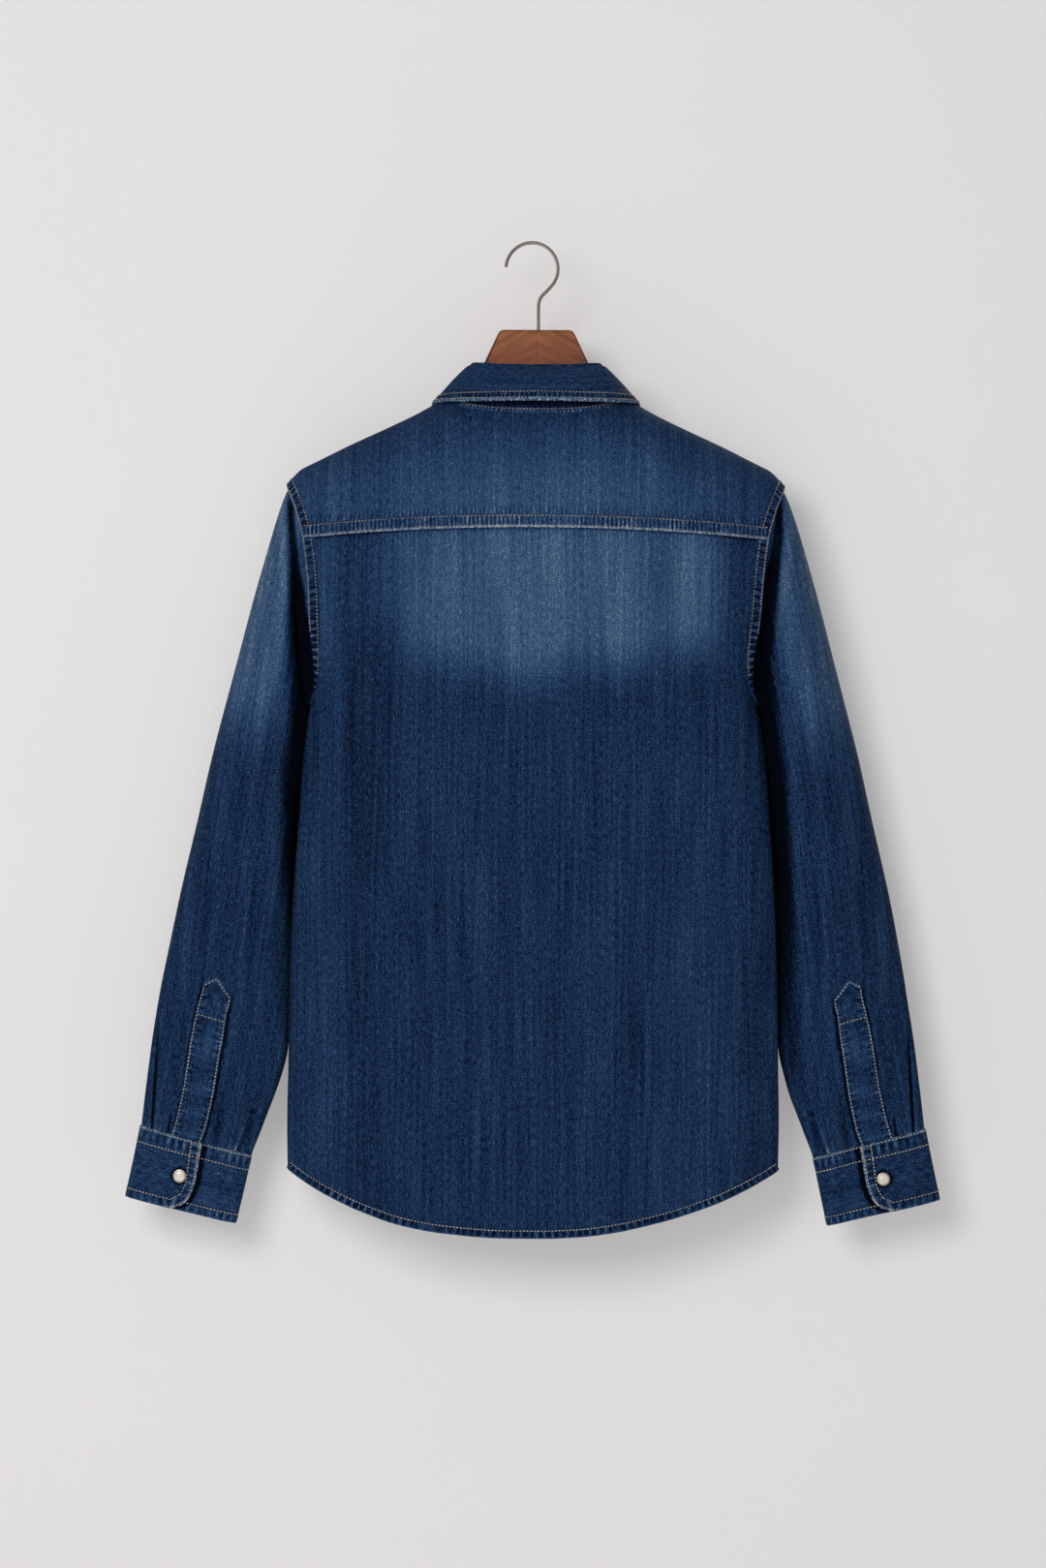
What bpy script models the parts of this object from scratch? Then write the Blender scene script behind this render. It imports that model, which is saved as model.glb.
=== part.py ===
"""A long-sleeved denim shirt on a wooden hanger.

The origin is the point where the hook hangs, inside the top of its bow. +Z is up, the back of the
shirt faces +Y and the wearer's left is +X. Sizes and tables are in millimetres. MM turns them into
metres as each mesh is made.

Every cloth piece is a wall. Its outer points lie on one shared body, neck or sleeve form, and its
inner points lie one thickness further in. Pieces that are sewn together share the stations along
their seam and stand SEAM apart there.
"""

from collections import namedtuple
from math import acos, cos, exp, pi, radians, sin, sqrt

import bmesh
import bpy
from mathutils import Vector

for old in list(bpy.data.objects):
    bpy.data.objects.remove(old, do_unlink=True)

MM = 0.001

# Driving dimensions
SEAM = 0.3              # gap between pieces that are sewn together
SHEET = 1.2             # one layer of denim
DOUBLE = 2.0            # two layers, as in yoke, collar and cuffs
SYMMETRY_X = -4.4       # middle of the shirt, beside the hang point
LEAN_DEGREES = -0.25    # the shirt hangs this much out of plumb
SHOULDER_Z = -223.0     # tip of the shoulder, top of the armhole
UNDERARM_Z = -420.0
SIDE_HEM_Z = -848.0     # hem at the side seams
HEM_DROP = 59.0         # the hem is this much lower at the middle
HEM_HALF_WIDTH = 225.0
HEM_POWER_LEFT = 2.6    # on its left half the curve stays low a little longer
HEM_POWER_RIGHT = 2.1
ARCH = 60.0             # height over which the cloth rolls over the shoulder
ROLL = 80.0             # the same roll, measured along the cloth
FLATNESS = 2.5          # power of the rounded oblong that the body has in plan
SIDE_FLATNESS = 5.0     # power of the turn at its side
ARM_TURN_Z = -345.0     # below this the armhole narrows towards the underarm
YOKE_MIDDLE_RISE = 9.3  # the back yoke seam is higher at the middle
NECK_SIDE_X = 76.0
NECK_SIDE_Z = -139.0
NECK_BACK_DROP = 21.5
NECK_FRONT_DROP = 75.0
LAP_DEGREES = 12.0      # half the front lap, as an angle round the neck
FRONT_SEAM_DEGREES = 123.0
ARM_STEP = 15           # degrees between stations round an armhole
YOKE_BACK_STATION = 60  # armhole station where the back yoke seam ends
YOKE_FRONT_STATION = -45
UNDERLAY = 1.8          # the right front lies this much deeper at the lap
STAND_UNDERLAY = 2.4
SNAP_RADIUS = 6.25
SNAP_SIDES = 12
WIRE_RADIUS = 1.6
HOOK_RADIUS = 24.0
HANGER_SEAT = 1.9       # the hanger's top lies this much below the cloth's ridge

# Tables, one row for each place that shapes a curve
Ridge = namedtuple("Ridge", "x z")
RIDGE = [
    Ridge(0, -115), Ridge(40, -122), Ridge(76, -139), Ridge(92.6, -147.4), Ridge(108.6, -156.3),
    Ridge(138, -170.5), Ridge(169, -184.8), Ridge(197.6, -199), Ridge(211, -206),
    Ridge(219.8, -213.2), Ridge(227.5, -223),
]
Edge = namedtuple("Edge", "z x")
EDGE = [
    Edge(-848, 225), Edge(-808, 225.6), Edge(-754, 224.7), Edge(-701, 223.8), Edge(-612, 221.2),
    Edge(-541, 216.7), Edge(-470, 211.8), Edge(-434, 207.4), Edge(-420, 205), Edge(-384, 203.4),
    Edge(-352, 204.2), Edge(-309, 206.6), Edge(-272.3, 211), Edge(-245, 218.4), Edge(-223, 227.5),
]
Depth = namedtuple("Depth", "z back front reach")
DEPTH = [
    Depth(-930, 52, 68, 240), Depth(-750, 56, 73, 240), Depth(-600, 59, 75, 238),
    Depth(-420, 61, 73, 236), Depth(-345, 61, 70, 240), Depth(-263, 60, 66, 244),
    Depth(-214, 59, 58, 247), Depth(-160, 56, 54, 250), Depth(-115, 52, 50, 252),
]
Fold = namedtuple("Fold", "side x_top x_hem z_top depth width")
FOLDS = [
    Fold(1, -150, -168, -520, 4.0, 22), Fold(1, -96, -104, -640, -2.6, 20),
    Fold(1, -38, -46, -700, 2.4, 24), Fold(1, 62, 66, -660, -2.8, 22),
    Fold(1, 118, 126, -560, 3.4, 22), Fold(1, 168, 182, -480, -3.0, 18),
    Fold(-1, -160, -176, -500, -4.2, 20), Fold(-1, -112, -120, -560, 4.4, 22),
    Fold(-1, -62, -68, -620, -3.2, 20), Fold(-1, 60, 70, -600, 3.6, 20),
    Fold(-1, 112, 118, -540, -4.0, 22), Fold(-1, 162, 178, -500, 4.2, 20),
]
Collar = namedtuple("Collar", "angle plan top leaf_x leaf_y leaf_z")
COLLAR = [
    Collar(0, 0.80, -117, 0, 71, -149.5), Collar(30, 0.77, -116.5, 42, 64, -149.5),
    Collar(55, 0.74, -115.5, 70, 48, -148.5), Collar(75, 0.74, -115, 88, 27, -147),
    Collar(90, 0.75, -116, 95.5, 5, -146), Collar(105, 0.75, -122.5, 97, -22, -151),
    Collar(123, 0.76, -140, 92, -52, -178), Collar(145, 0.81, -165, 80, -67, -213),
    Collar(168, 0.87, -183, 60, -72, -250), Collar(192, 0.88, -185.5, 60, -72, -250),
]
Ring = namedtuple("Ring", "outer_x outer_z inner_x inner_z depth y")
RINGS = [
    Ring(227.5, -223, 205, -420, 42, 0), Ring(233.5, -242, 210, -424, 45, -3),
    Ring(241.5, -264, 211, -434, 49, -7), Ring(250.5, -295, 212, -449, 52, -12),
    Ring(260, -328, 213, -469, 54, -16), Ring(271, -369, 215, -496, 55, -20),
    Ring(283.5, -416, 217.5, -530, 54, -22), Ring(297.5, -470, 220, -570, 51, -23),
    Ring(311, -530, 222.2, -616, 47, -23), Ring(325, -590, 224, -662, 41, -22),
    Ring(336.9, -648, 226.2, -706, 34, -19), Ring(344.6, -688, 229, -738, 28, -15),
    Ring(350.3, -726, 236, -766, 22, -11), Ring(354.3, -762, 244, -794, 17, -7),
    Ring(357.8, -792, 252.6, -821, 14, -4), Ring(360.2, -812, 259.5, -838.4, 13, -3),
]
CUFF_TOP = Ring(361.0, -812.2, 259.1, -839.0, 13.6, -3)
CUFF_BOTTOM = Ring(374.4, -876, 273.0, -900.4, 13.6, -3)
Tuck = namedtuple("Tuck", "across depth width length")
TUCKS = [
    Tuck(0.15, 2.6, 0.045, 4.2), Tuck(0.27, 2.4, 0.040, 3.6), Tuck(0.87, 2.4, 0.045, 3.4),
]
Elbow = namedtuple("Elbow", "row angle depth width height")
ELBOWS = [
    Elbow(5.0, 118, -4.0, 40, 0.8), Elbow(6.6, 70, -2.5, 34, 0.7), Elbow(8.2, 112, -3.2, 36, 0.7),
    Elbow(5.6, 250, -4.2, 42, 0.8), Elbow(7.4, 292, -3.4, 36, 0.7), Elbow(9.2, 240, -2.8, 36, 0.7),
]
Strip = namedtuple("Strip", "row across half_width")
SLEEVE_PLACKET = [
    Strip(10.0, 0.436, 0.8), Strip(10.28, 0.432, 12.4), Strip(10.64, 0.428, 12.4),
    Strip(11.0, 0.424, 12.4), Strip(11.5, 0.418, 12.4), Strip(12.0, 0.412, 12.4),
    Strip(12.5, 0.406, 12.4), Strip(13.0, 0.4, 12.4), Strip(13.5, 0.394, 12.4),
    Strip(14.0, 0.387, 12.4), Strip(14.94, 0.376, 12.4),
]
Wood = namedtuple("Wood", "x top bottom half_depth corner")
WOOD = [
    Wood(0, -79.5, -150, 11, 3), Wood(16, -79.5, -152, 11, 3), Wood(30.5, -79.5, -156, 11, 3),
    Wood(33.6, -80.7, -157, 11, 3), Wood(35.6, -84, -158, 11, 3), Wood(46.5, -107, -162, 11, 3),
    Wood(52, -119.5, -164, 11, 4), Wood(60, -132.5, -167, 11, 6), Wood(70, -141.2, -172, 11.5, 8),
]
WOOD_ARM_X = [84, 104, 126, 148, 170, 188, 198, 204]
WOOD_ARM_HEIGHT = 29.0
WOOD_ARM_DEPTH = 12.0
WOOD_TIP_DEPTH = 17.0


def smooth(table, key, column, at):
    """A column's value between two rows, on a smooth curve through all of them."""
    rows = sorted(table, key=lambda row: getattr(row, key))
    xs = [getattr(row, key) for row in rows]
    ys = [getattr(row, column) for row in rows]
    at = min(max(at, xs[0]), xs[-1])
    i = 0
    while i < len(xs) - 2 and at > xs[i + 1]:
        i += 1

    def slope(j):
        if j == 0:
            return (ys[1] - ys[0]) / (xs[1] - xs[0])
        if j == len(xs) - 1:
            return (ys[-1] - ys[-2]) / (xs[-1] - xs[-2])
        before = (ys[j] - ys[j - 1]) / (xs[j] - xs[j - 1])
        after = (ys[j + 1] - ys[j]) / (xs[j + 1] - xs[j])
        if before * after <= 0:
            return 0.0
        return 2 * before * after / (before + after)

    width = xs[i + 1] - xs[i]
    t = (at - xs[i]) / width
    start = ys[i] * (1 + 2 * t) * (1 - t) ** 2 + slope(i) * width * t * (1 - t) ** 2
    end = ys[i + 1] * t * t * (3 - 2 * t) + slope(i + 1) * width * t * t * (t - 1)
    return start + end


def ease(t):
    """0 before 0, 1 after 1 and a soft step between."""
    t = min(max(t, 0.0), 1.0)
    return t * t * (3 - 2 * t)


def mix(a, b, t):
    return a + (b - a) * t


# The body form: yoke, back and fronts lie on it

def ridge_z(x):
    return smooth(RIDGE, "x", "z", abs(x))


def edge_x(z):
    return smooth(EDGE, "z", "x", z)


def depth_at(z, side):
    return smooth(DEPTH, "z", "back" if side > 0 else "front", z)


def plan_share(x, z):
    """Depth at x as a share of the depth at the middle, before the side turns in."""
    reach = smooth(DEPTH, "z", "reach", z)
    return (1 - (abs(x) / reach) ** FLATNESS) ** (1 / FLATNESS)


def side_turn(x, z):
    """0 in the middle and 1 on the side's fold; an armhole keeps it from getting there."""
    share = abs(x) / edge_x(z)
    if z > UNDERARM_Z:
        fall = max(0.0, ARM_TURN_Z - z) / (ARM_TURN_Z - UNDERARM_Z)
        left_open = sqrt(max(0.0, 1 - fall * fall))
        share *= (1 - left_open ** SIDE_FLATNESS) ** (1 / SIDE_FLATNESS)
    return share ** SIDE_FLATNESS


def fold_relief(x, z, side):
    relief = 0.0
    for fold in FOLDS:
        if fold.side != side:
            continue
        down = (fold.z_top - z) / (fold.z_top - SIDE_HEM_Z)
        middle = mix(fold.x_top, fold.x_hem, max(0.0, down))
        relief += fold.depth * ease(down) * exp(-((x - middle) / fold.width) ** 2)
    return relief


def body_y(x, z, side):
    bulge = plan_share(x, z) * max(0.0, 1 - side_turn(x, z)) ** (1 / SIDE_FLATNESS)
    drop = max(0.0, ridge_z(x) - z)
    arch = 1.0
    if drop < ARCH:
        arch = sqrt(max(0.0, 1 - (1 - drop / ARCH) ** 2))
    return side * (depth_at(z, side) * bulge * arch + fold_relief(x, z, side) * min(1.0, bulge * 1.5))


def body_point(x, z, side):
    return Vector((x, body_y(x, z, side), z))


def body_level(x, y, z, side):
    """Zero on the body form, less inside it and more outside."""
    depth = depth_at(z, side) * plan_share(x, z)
    turn = side_turn(x, z)
    drop = ridge_z(x) - z
    if drop < ARCH:
        depth *= (1 - min(0.999, turn)) ** (1 / SIDE_FLATNESS)
        return (y / depth) ** 2 + (1 - drop / ARCH) ** 2 - 1
    return turn + (abs(y) / depth) ** SIDE_FLATNESS - 1


def body_normal(point, side):
    step = 0.25
    x, y, z = point
    slope = []
    for axis in range(3):
        ahead = [x, y, z]
        behind = [x, y, z]
        ahead[axis] += step
        behind[axis] -= step
        slope.append(body_level(*ahead, side) - body_level(*behind, side))
    return Vector(slope).normalized()


def chart_z(x, w):
    """Height on the body form, w millimetres along the cloth from the shoulder ridge."""
    if abs(w) < ROLL:
        return ridge_z(x) - ARCH * (1 - cos(abs(w) / ROLL * pi / 2))
    return ridge_z(x) - ARCH - (abs(w) - ROLL)


def chart_w(x, z, side):
    drop = max(0.0, ridge_z(x) - z)
    if drop < ARCH:
        return side * ROLL * acos(1 - drop / ARCH) / (pi / 2)
    return side * (ROLL + drop - ARCH)


# Seam lines that pieces share

def neck_xz(angle):
    """The neckline from the back middle, 0, over the shoulder, 90, to the front middle, 180."""
    x = NECK_SIDE_X * sin(radians(angle))
    turn = cos(radians(angle))
    if turn >= 0:
        return x, NECK_SIDE_Z - NECK_BACK_DROP * sqrt(turn), 1
    return x, NECK_SIDE_Z + NECK_FRONT_DROP * turn, -1


def neck_point(angle):
    return body_point(*neck_xz(angle))


def arm_xz(station):
    """The armhole from the shoulder tip, 0, to the underarm, 180; the front side is negative."""
    middle = (SHOULDER_Z + UNDERARM_Z) / 2
    z = middle + (SHOULDER_Z - UNDERARM_Z) / 2 * cos(radians(station))
    side = 1 if station % 360 < 180 else -1
    return edge_x(z), z, side


def arm_point(station):
    return body_point(*arm_xz(station))


def even_angles(start, end, count):
    """Angles that divide a stretch of the neckline into equal lengths."""
    fine = 240
    angles = [mix(start, end, i / fine) for i in range(fine + 1)]
    lengths = [0.0]
    for a, b in zip(angles, angles[1:]):
        lengths.append(lengths[-1] + (neck_point(b) - neck_point(a)).length)
    result = []
    j = 0
    for i in range(count + 1):
        target = lengths[-1] * i / count
        while j < fine - 1 and lengths[j + 1] < target:
            j += 1
        part = (target - lengths[j]) / (lengths[j + 1] - lengths[j])
        result.append(mix(angles[j], angles[j + 1], part))
    return result


ARM_BACK = list(range(YOKE_BACK_STATION, 181, ARM_STEP))
ARM_FRONT = list(range(YOKE_FRONT_STATION, -181, -ARM_STEP))
ARM_YOKE = list(range(YOKE_FRONT_STATION, YOKE_BACK_STATION + 1, ARM_STEP))
YOKE_SEAM_STEPS = 14
YOKE_ANGLES = even_angles(
    -FRONT_SEAM_DEGREES, FRONT_SEAM_DEGREES, YOKE_SEAM_STEPS + 2 * (len(ARM_YOKE) - 1))
LAP_ANGLES = [180 + LAP_DEGREES, 180, 180 - LAP_DEGREES]
FRONT_ANGLES = LAP_ANGLES + [153, 138, FRONT_SEAM_DEGREES]
NECK_ANGLES = [-angle for angle in FRONT_ANGLES[:-1]] + YOKE_ANGLES + FRONT_ANGLES[-2::-1]


def away(point, normal, tangent, centre):
    """The direction in the cloth's plane that points off its edge, towards the hole's centre."""
    direction = normal.cross(tangent).normalized()
    return direction if direction.dot(centre - point) > 0 else -direction


def arm_away(station):
    point = arm_point(station)
    side = arm_xz(station)[2]
    tangent = arm_point(station + 2) - arm_point(station - 2)
    return away(point, body_normal(point, side), tangent, Vector((212, 0, -321)))


def neck_away(angle):
    point = neck_point(angle)
    side = neck_xz(angle)[2]
    tangent = neck_point(angle + 1.5) - neck_point(angle - 1.5)
    return away(point, body_normal(point, side), tangent, Vector((0, 0, -100)))


def hem_drop(x):
    power = HEM_POWER_RIGHT if x < 0 else HEM_POWER_LEFT
    return HEM_DROP * (1 - min(1.0, abs(x) / HEM_HALF_WIDTH) ** power)


# Meshes

def material(name, colour, roughness, metallic=0.0):
    made = bpy.data.materials.new(name)
    made.use_nodes = True
    shader = made.node_tree.nodes["Principled BSDF"]
    shader.inputs["Base Color"].default_value = (*colour, 1.0)
    shader.inputs["Roughness"].default_value = roughness
    shader.inputs["Metallic"].default_value = metallic
    return made


garment = bpy.data.objects.new("garment_frame", None)
bpy.context.scene.collection.objects.link(garment)
garment.location = (SYMMETRY_X * MM, 0, 0)
garment.rotation_euler = (0, radians(LEAN_DEGREES), 0)


def finish_object(name, mesh, colour, roughness, metallic=0.0):
    piece = bpy.data.objects.new(name, mesh)
    bpy.context.scene.collection.objects.link(piece)
    piece.parent = garment
    mesh.materials.append(material(name, colour, roughness, metallic))
    mesh.shade_smooth()
    mesh.set_sharp_from_angle(angle=radians(40))
    return piece


def solid(name, points, faces, colour, roughness, metallic=0.0):
    """One closed body from points in millimetres, its faces turned outwards."""
    shape = bmesh.new()
    corners = [shape.verts.new(Vector(point) * MM) for point in points]
    for face in faces:
        shape.faces.new([corners[i] for i in face])
    bmesh.ops.recalc_face_normals(shape, faces=shape.faces)
    mesh = bpy.data.meshes.new(name)
    shape.to_mesh(mesh)
    shape.free()
    return finish_object(name, mesh, colour, roughness, metallic)


def wall(name, outer, inner, colour, roughness, loop=False):
    """A cloth wall between two grids of points, each a list of rows."""
    rows = len(outer)
    columns = len(outer[0])
    points = [point for row in outer for point in row] + [point for row in inner for point in row]
    half = rows * columns

    def cell(face, r, c, base):
        c_next = (c + 1) % columns
        a = base + r * columns + c
        b = base + r * columns + c_next
        d = base + (r + 1) * columns + c
        e = base + (r + 1) * columns + c_next
        face.append((a, b, e))
        face.append((a, e, d))

    faces = []
    across = columns if loop else columns - 1
    for r in range(rows - 1):
        for c in range(across):
            cell(faces, r, c, 0)
            cell(faces, r, c, half)
    for c in range(across):
        c_next = (c + 1) % columns
        for start in (0, (rows - 1) * columns):
            faces.append((start + c, start + c_next, half + start + c_next, half + start + c))
    if not loop:
        for r in range(rows - 1):
            for c in (0, columns - 1):
                a = r * columns + c
                b = (r + 1) * columns + c
                faces.append((a, b, half + b, half + a))
    return solid(name, points, faces, colour, roughness)


def grid_normals(grid, loop=False, outward=None):
    """Unit normals of a grid from its neighbours, all turned like the direction outward(r, c)."""
    rows = len(grid)
    columns = len(grid[0])
    normals = []
    for r in range(rows):
        row = []
        for c in range(columns):
            left = (c - 1) % columns if loop else max(c - 1, 0)
            right = (c + 1) % columns if loop else min(c + 1, columns - 1)
            along = grid[r][right] - grid[r][left]
            down = grid[min(r + 1, rows - 1)][c] - grid[max(r - 1, 0)][c]
            normal = along.cross(down).normalized()
            if normal.dot(outward(r, c)) < 0:
                normal.negate()
            row.append(normal)
        normals.append(row)
    return normals


def offset(grid, normals, distance):
    return [[p + n * distance for p, n in zip(*pair)] for pair in zip(grid, normals)]


def mirrored(grid):
    return [[Vector((-p.x, p.y, p.z)) for p in row] for row in grid]


def kept_off(direction, gap_direction):
    """A wall's inward direction, without the part that would reach back over a seam."""
    back = direction.dot(gap_direction)
    if back < 0:
        direction = direction - gap_direction * back
    return direction.normalized()


# Body pieces

DENIM = (0.020, 0.060, 0.165)
DENIM_LIGHT = (0.045, 0.120, 0.270)
DENIM_ROUGHNESS = 0.9
BODY_SIDE_ROWS = [-440, -466, -496, -528, -562, -598, -634, -670, -706, -742, -778, -812, -848]


def spread(share):
    """Columns from the middle, 0, to the edge, 1, closer together where the side turns in."""
    return sin(share * pi / 2) ** 0.8


def edge_rows(stations):
    """Heights of a panel's rows at its outer edge: armhole stations, then the side seam."""
    return [arm_xz(station)[1] for station in stations] + BODY_SIDE_ROWS


def seat_side_seam(point, side):
    """Points on the side seam stand half a seam from the middle plane."""
    if abs(point.y) < SEAM / 2 + 0.05:
        point.y = side * (SEAM / 2 + 0.05)
    return point


def body_wall(name, grid, side, thickness, colour):
    normals = [[body_normal(point, side) for point in row] for row in grid]
    wall(name, grid, offset(grid, normals, -thickness), colour, DENIM_ROUGHNESS)
    return normals


def make_back():
    heights = edge_rows(ARM_BACK)
    top, bottom = heights[0], heights[-1]
    steps = 22
    grid = []
    for z_edge in heights:
        v = (z_edge - top) / (bottom - top)
        row = []
        for c in range(steps + 1):
            share = 2 * c / steps - 1
            x = edge_x(z_edge) * spread(abs(share)) * (1 if share > 0 else -1)
            rise = YOKE_MIDDLE_RISE * (1 - min(1.0, abs(x) / edge_x(top)) ** 2) * (1 - ease(v / 0.35))
            z = z_edge + rise - hem_drop(x) * ease((v - 0.25) / 0.75)
            if z_edge == top:
                z -= SEAM
            point = body_point(x, z, 1)
            if c in (0, steps):
                point = seat_side_seam(point, 1)
            row.append(point)
        grid.append(row)
    body_wall("back_panel", grid, 1, SHEET, DENIM)


def make_yoke():
    seam_side = edge_x(arm_xz(YOKE_BACK_STATION)[1])
    outer_edge = []
    for station in ARM_YOKE:
        x, z, side = arm_xz(station)
        outer_edge.append((-x, chart_w(x, z, side)))
    for i in range(1, YOKE_SEAM_STEPS):
        x = seam_side * (2 * i / YOKE_SEAM_STEPS - 1)
        z = arm_xz(YOKE_BACK_STATION)[1] + YOKE_MIDDLE_RISE * (1 - (x / seam_side) ** 2)
        outer_edge.append((x, chart_w(x, z, 1)))
    for station in reversed(ARM_YOKE):
        x, z, side = arm_xz(station)
        outer_edge.append((x, chart_w(x, z, side)))
    steps = 8
    grid = []
    sides = []
    for v in range(steps + 1):
        row = []
        side_row = []
        for angle, (x_out, w_out) in zip(YOKE_ANGLES, outer_edge):
            x_in, z_in, side_in = neck_xz(angle)
            w_in = chart_w(x_in, z_in, side_in)
            x = mix(x_in, x_out, v / steps)
            w = mix(w_in, w_out, v / steps)
            side = 1 if w >= 0 else -1
            row.append(body_point(x, chart_z(x, w), side))
            side_row.append(side)
        grid.append(row)
        sides.append(side_row)
    normals = [[body_normal(p, s) for p, s in zip(*pair)] for pair in zip(grid, sides)]
    wall("yoke", grid, offset(grid, normals, -DOUBLE), DENIM_LIGHT, DENIM_ROUGHNESS)


def front_grid():
    """The wearer's left front, from its lap edge to the armhole and side seam."""
    heights = edge_rows(ARM_FRONT)
    top, bottom = heights[0], heights[-1]
    seam_steps = 7
    top_line = []
    for angle in FRONT_ANGLES:
        x, z, side = neck_xz(angle)
        top_line.append((x, z))
    x_in, z_in, side = neck_xz(FRONT_SEAM_DEGREES)
    x_out, z_out, side = arm_xz(YOKE_FRONT_STATION)
    w_in = chart_w(x_in, z_in, -1)
    w_out = chart_w(x_out, z_out, -1)
    for i in range(1, seam_steps + 1):
        x = mix(x_in, x_out, i / seam_steps)
        w = mix(w_in, w_out, i / seam_steps)
        top_line.append((x, chart_z(x, w)))
    lap = len(LAP_ANGLES) - 1
    corner = len(FRONT_ANGLES) - 1
    last = len(top_line) - 1
    lap_x = top_line[lap][0]
    grid = []
    for z_edge in heights:
        v = (z_edge - top) / (bottom - top)
        row = []
        for c, (x_top, z_top) in enumerate(top_line):
            x = x_top
            if c > lap:
                share_top = (x_top - lap_x) / (edge_x(top) - lap_x)
                share_low = spread((c - lap) / (last - lap))
                share = mix(share_top, share_low, ease(v / 0.35))
                x = mix(lap_x, edge_x(z_edge), share)
            z = mix(z_top, SIDE_HEM_Z - hem_drop(x), v)
            if z_edge == top and c >= corner:
                z -= SEAM
            point = body_point(x, z, -1)
            if c == last:
                point = seat_side_seam(point, -1)
            row.append(point)
        grid.append(row)
    return grid


PLACKET_LIFT = SHEET + SEAM


def make_fronts():
    grid = front_grid()
    normals = body_wall("front_left", grid, -1, SHEET, DENIM)
    lap = len(LAP_ANGLES)
    strip = [row[:lap] for row in grid]
    strip_normals = [row[:lap] for row in normals]
    strip[0] = [point - Vector((0, 0, SEAM)) for point in strip[0]]
    wall("front_placket", offset(strip, strip_normals, PLACKET_LIFT), offset(strip, strip_normals, SEAM),
         DENIM, DENIM_ROUGHNESS)
    right = mirrored(grid)
    for row in right:
        for c in range(lap):
            row[c] = row[c] + Vector((0, UNDERLAY, 0))
    right_normals = mirrored(normals)
    wall("front_right", right, offset(right, right_normals, -SHEET), DENIM, DENIM_ROUGHNESS)


# Collar

def stand_push(angle):
    """The stand's right end runs under its left end."""
    return STAND_UNDERLAY * ease((-angle - 150) / 17)


def plan_out(angle):
    """The level direction that points away from the neck."""
    point = neck_point(angle)
    return Vector((point.x, point.y, 0)).normalized()


def stand_top(angle):
    point = neck_point(angle)
    scale = smooth(COLLAR, "angle", "plan", abs(angle))
    top = Vector((point.x * scale, point.y * scale, smooth(COLLAR, "angle", "top", abs(angle))))
    return top - plan_out(angle) * stand_push(angle)


def make_stand():
    steps = 4
    grid = []
    for v in range(steps + 1):
        row = []
        for angle in NECK_ANGLES:
            low = neck_point(angle) + neck_away(angle) * SEAM - plan_out(angle) * stand_push(angle)
            row.append(low.lerp(stand_top(angle), v / steps))
        grid.append(row)
    normals = grid_normals(grid, outward=lambda r, c: plan_out(NECK_ANGLES[c]))
    inner = offset(grid, normals, -DOUBLE)
    for c, angle in enumerate(NECK_ANGLES):
        inner[0][c] = grid[0][c] + kept_off(-normals[0][c], neck_away(angle)) * DOUBLE
    wall("collar_stand", grid, inner, DENIM_LIGHT, DENIM_ROUGHNESS)


ROLL_RADIUS = 4.3
LEAF_RISE = 2.0
LEAF_BULGE = 3.5


def make_leaf():
    angles = [angle for angle in NECK_ANGLES if abs(angle) <= 180 - LAP_DEGREES + 0.1]
    outer = []
    inner = []
    falls = [0.3, 0.65, 1.0]
    for angle in angles:
        out = plan_out(angle)
        up = Vector((0, 0, 1))
        base = stand_top(angle)
        edge = Vector([smooth(COLLAR, "angle", "leaf_" + axis, abs(angle)) for axis in "xyz"])
        if angle < 0:
            edge.x = -edge.x
        centre = base + out * (ROLL_RADIUS - DOUBLE) + up * (SEAM + LEAF_RISE)
        face = [base - out * DOUBLE + up * SEAM]
        back = [base + up * SEAM]
        for turn in (180, 135, 90, 45):
            ray = out * cos(radians(turn)) + up * sin(radians(turn))
            face.append(centre + ray * ROLL_RADIUS)
            back.append(centre + ray * (ROLL_RADIUS - DOUBLE))
        start = centre + out * ROLL_RADIUS
        fall = (edge - start).normalized()
        along = out.cross(up)
        lift = along.cross(fall).normalized()
        if lift.dot(out) < 0:
            lift.negate()
        for part in falls:
            point = start.lerp(edge, part) + lift * LEAF_BULGE * sin(pi * part) * 0.9
            face.append(point)
            back.append(point - lift * DOUBLE)
        outer.append(face)
        inner.append(back)
    wall("collar_leaf", outer, inner, DENIM_LIGHT, DENIM_ROUGHNESS)


# Sleeves

SLEEVE_FLATNESS = 2.3
EXTRA_STATIONS = [37, 52, 67, 128, 142]
SLEEVE_STATIONS = sorted(list(range(0, 360, ARM_STEP)) + EXTRA_STATIONS)
ROUND_OFF_ROWS = 4.0
LAST_RING = len(RINGS) - 1


def ring_at(row):
    i = min(int(row), LAST_RING - 1)
    table = [(j, ring) for j, ring in enumerate(RINGS)]
    before = table[max(i - 1, 0)][1]
    start = table[i][1]
    end = table[i + 1][1]
    after = table[min(i + 2, LAST_RING)][1]
    t = row - i
    values = []
    for p, a, b, q in zip(before, start, end, after):
        bend = a + 0.5 * t * (b - p + t * (2 * p - 5 * a + 4 * b - q + t * (3 * (a - b) + q - p)))
        values.append(bend)
    return Ring(*values)


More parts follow.
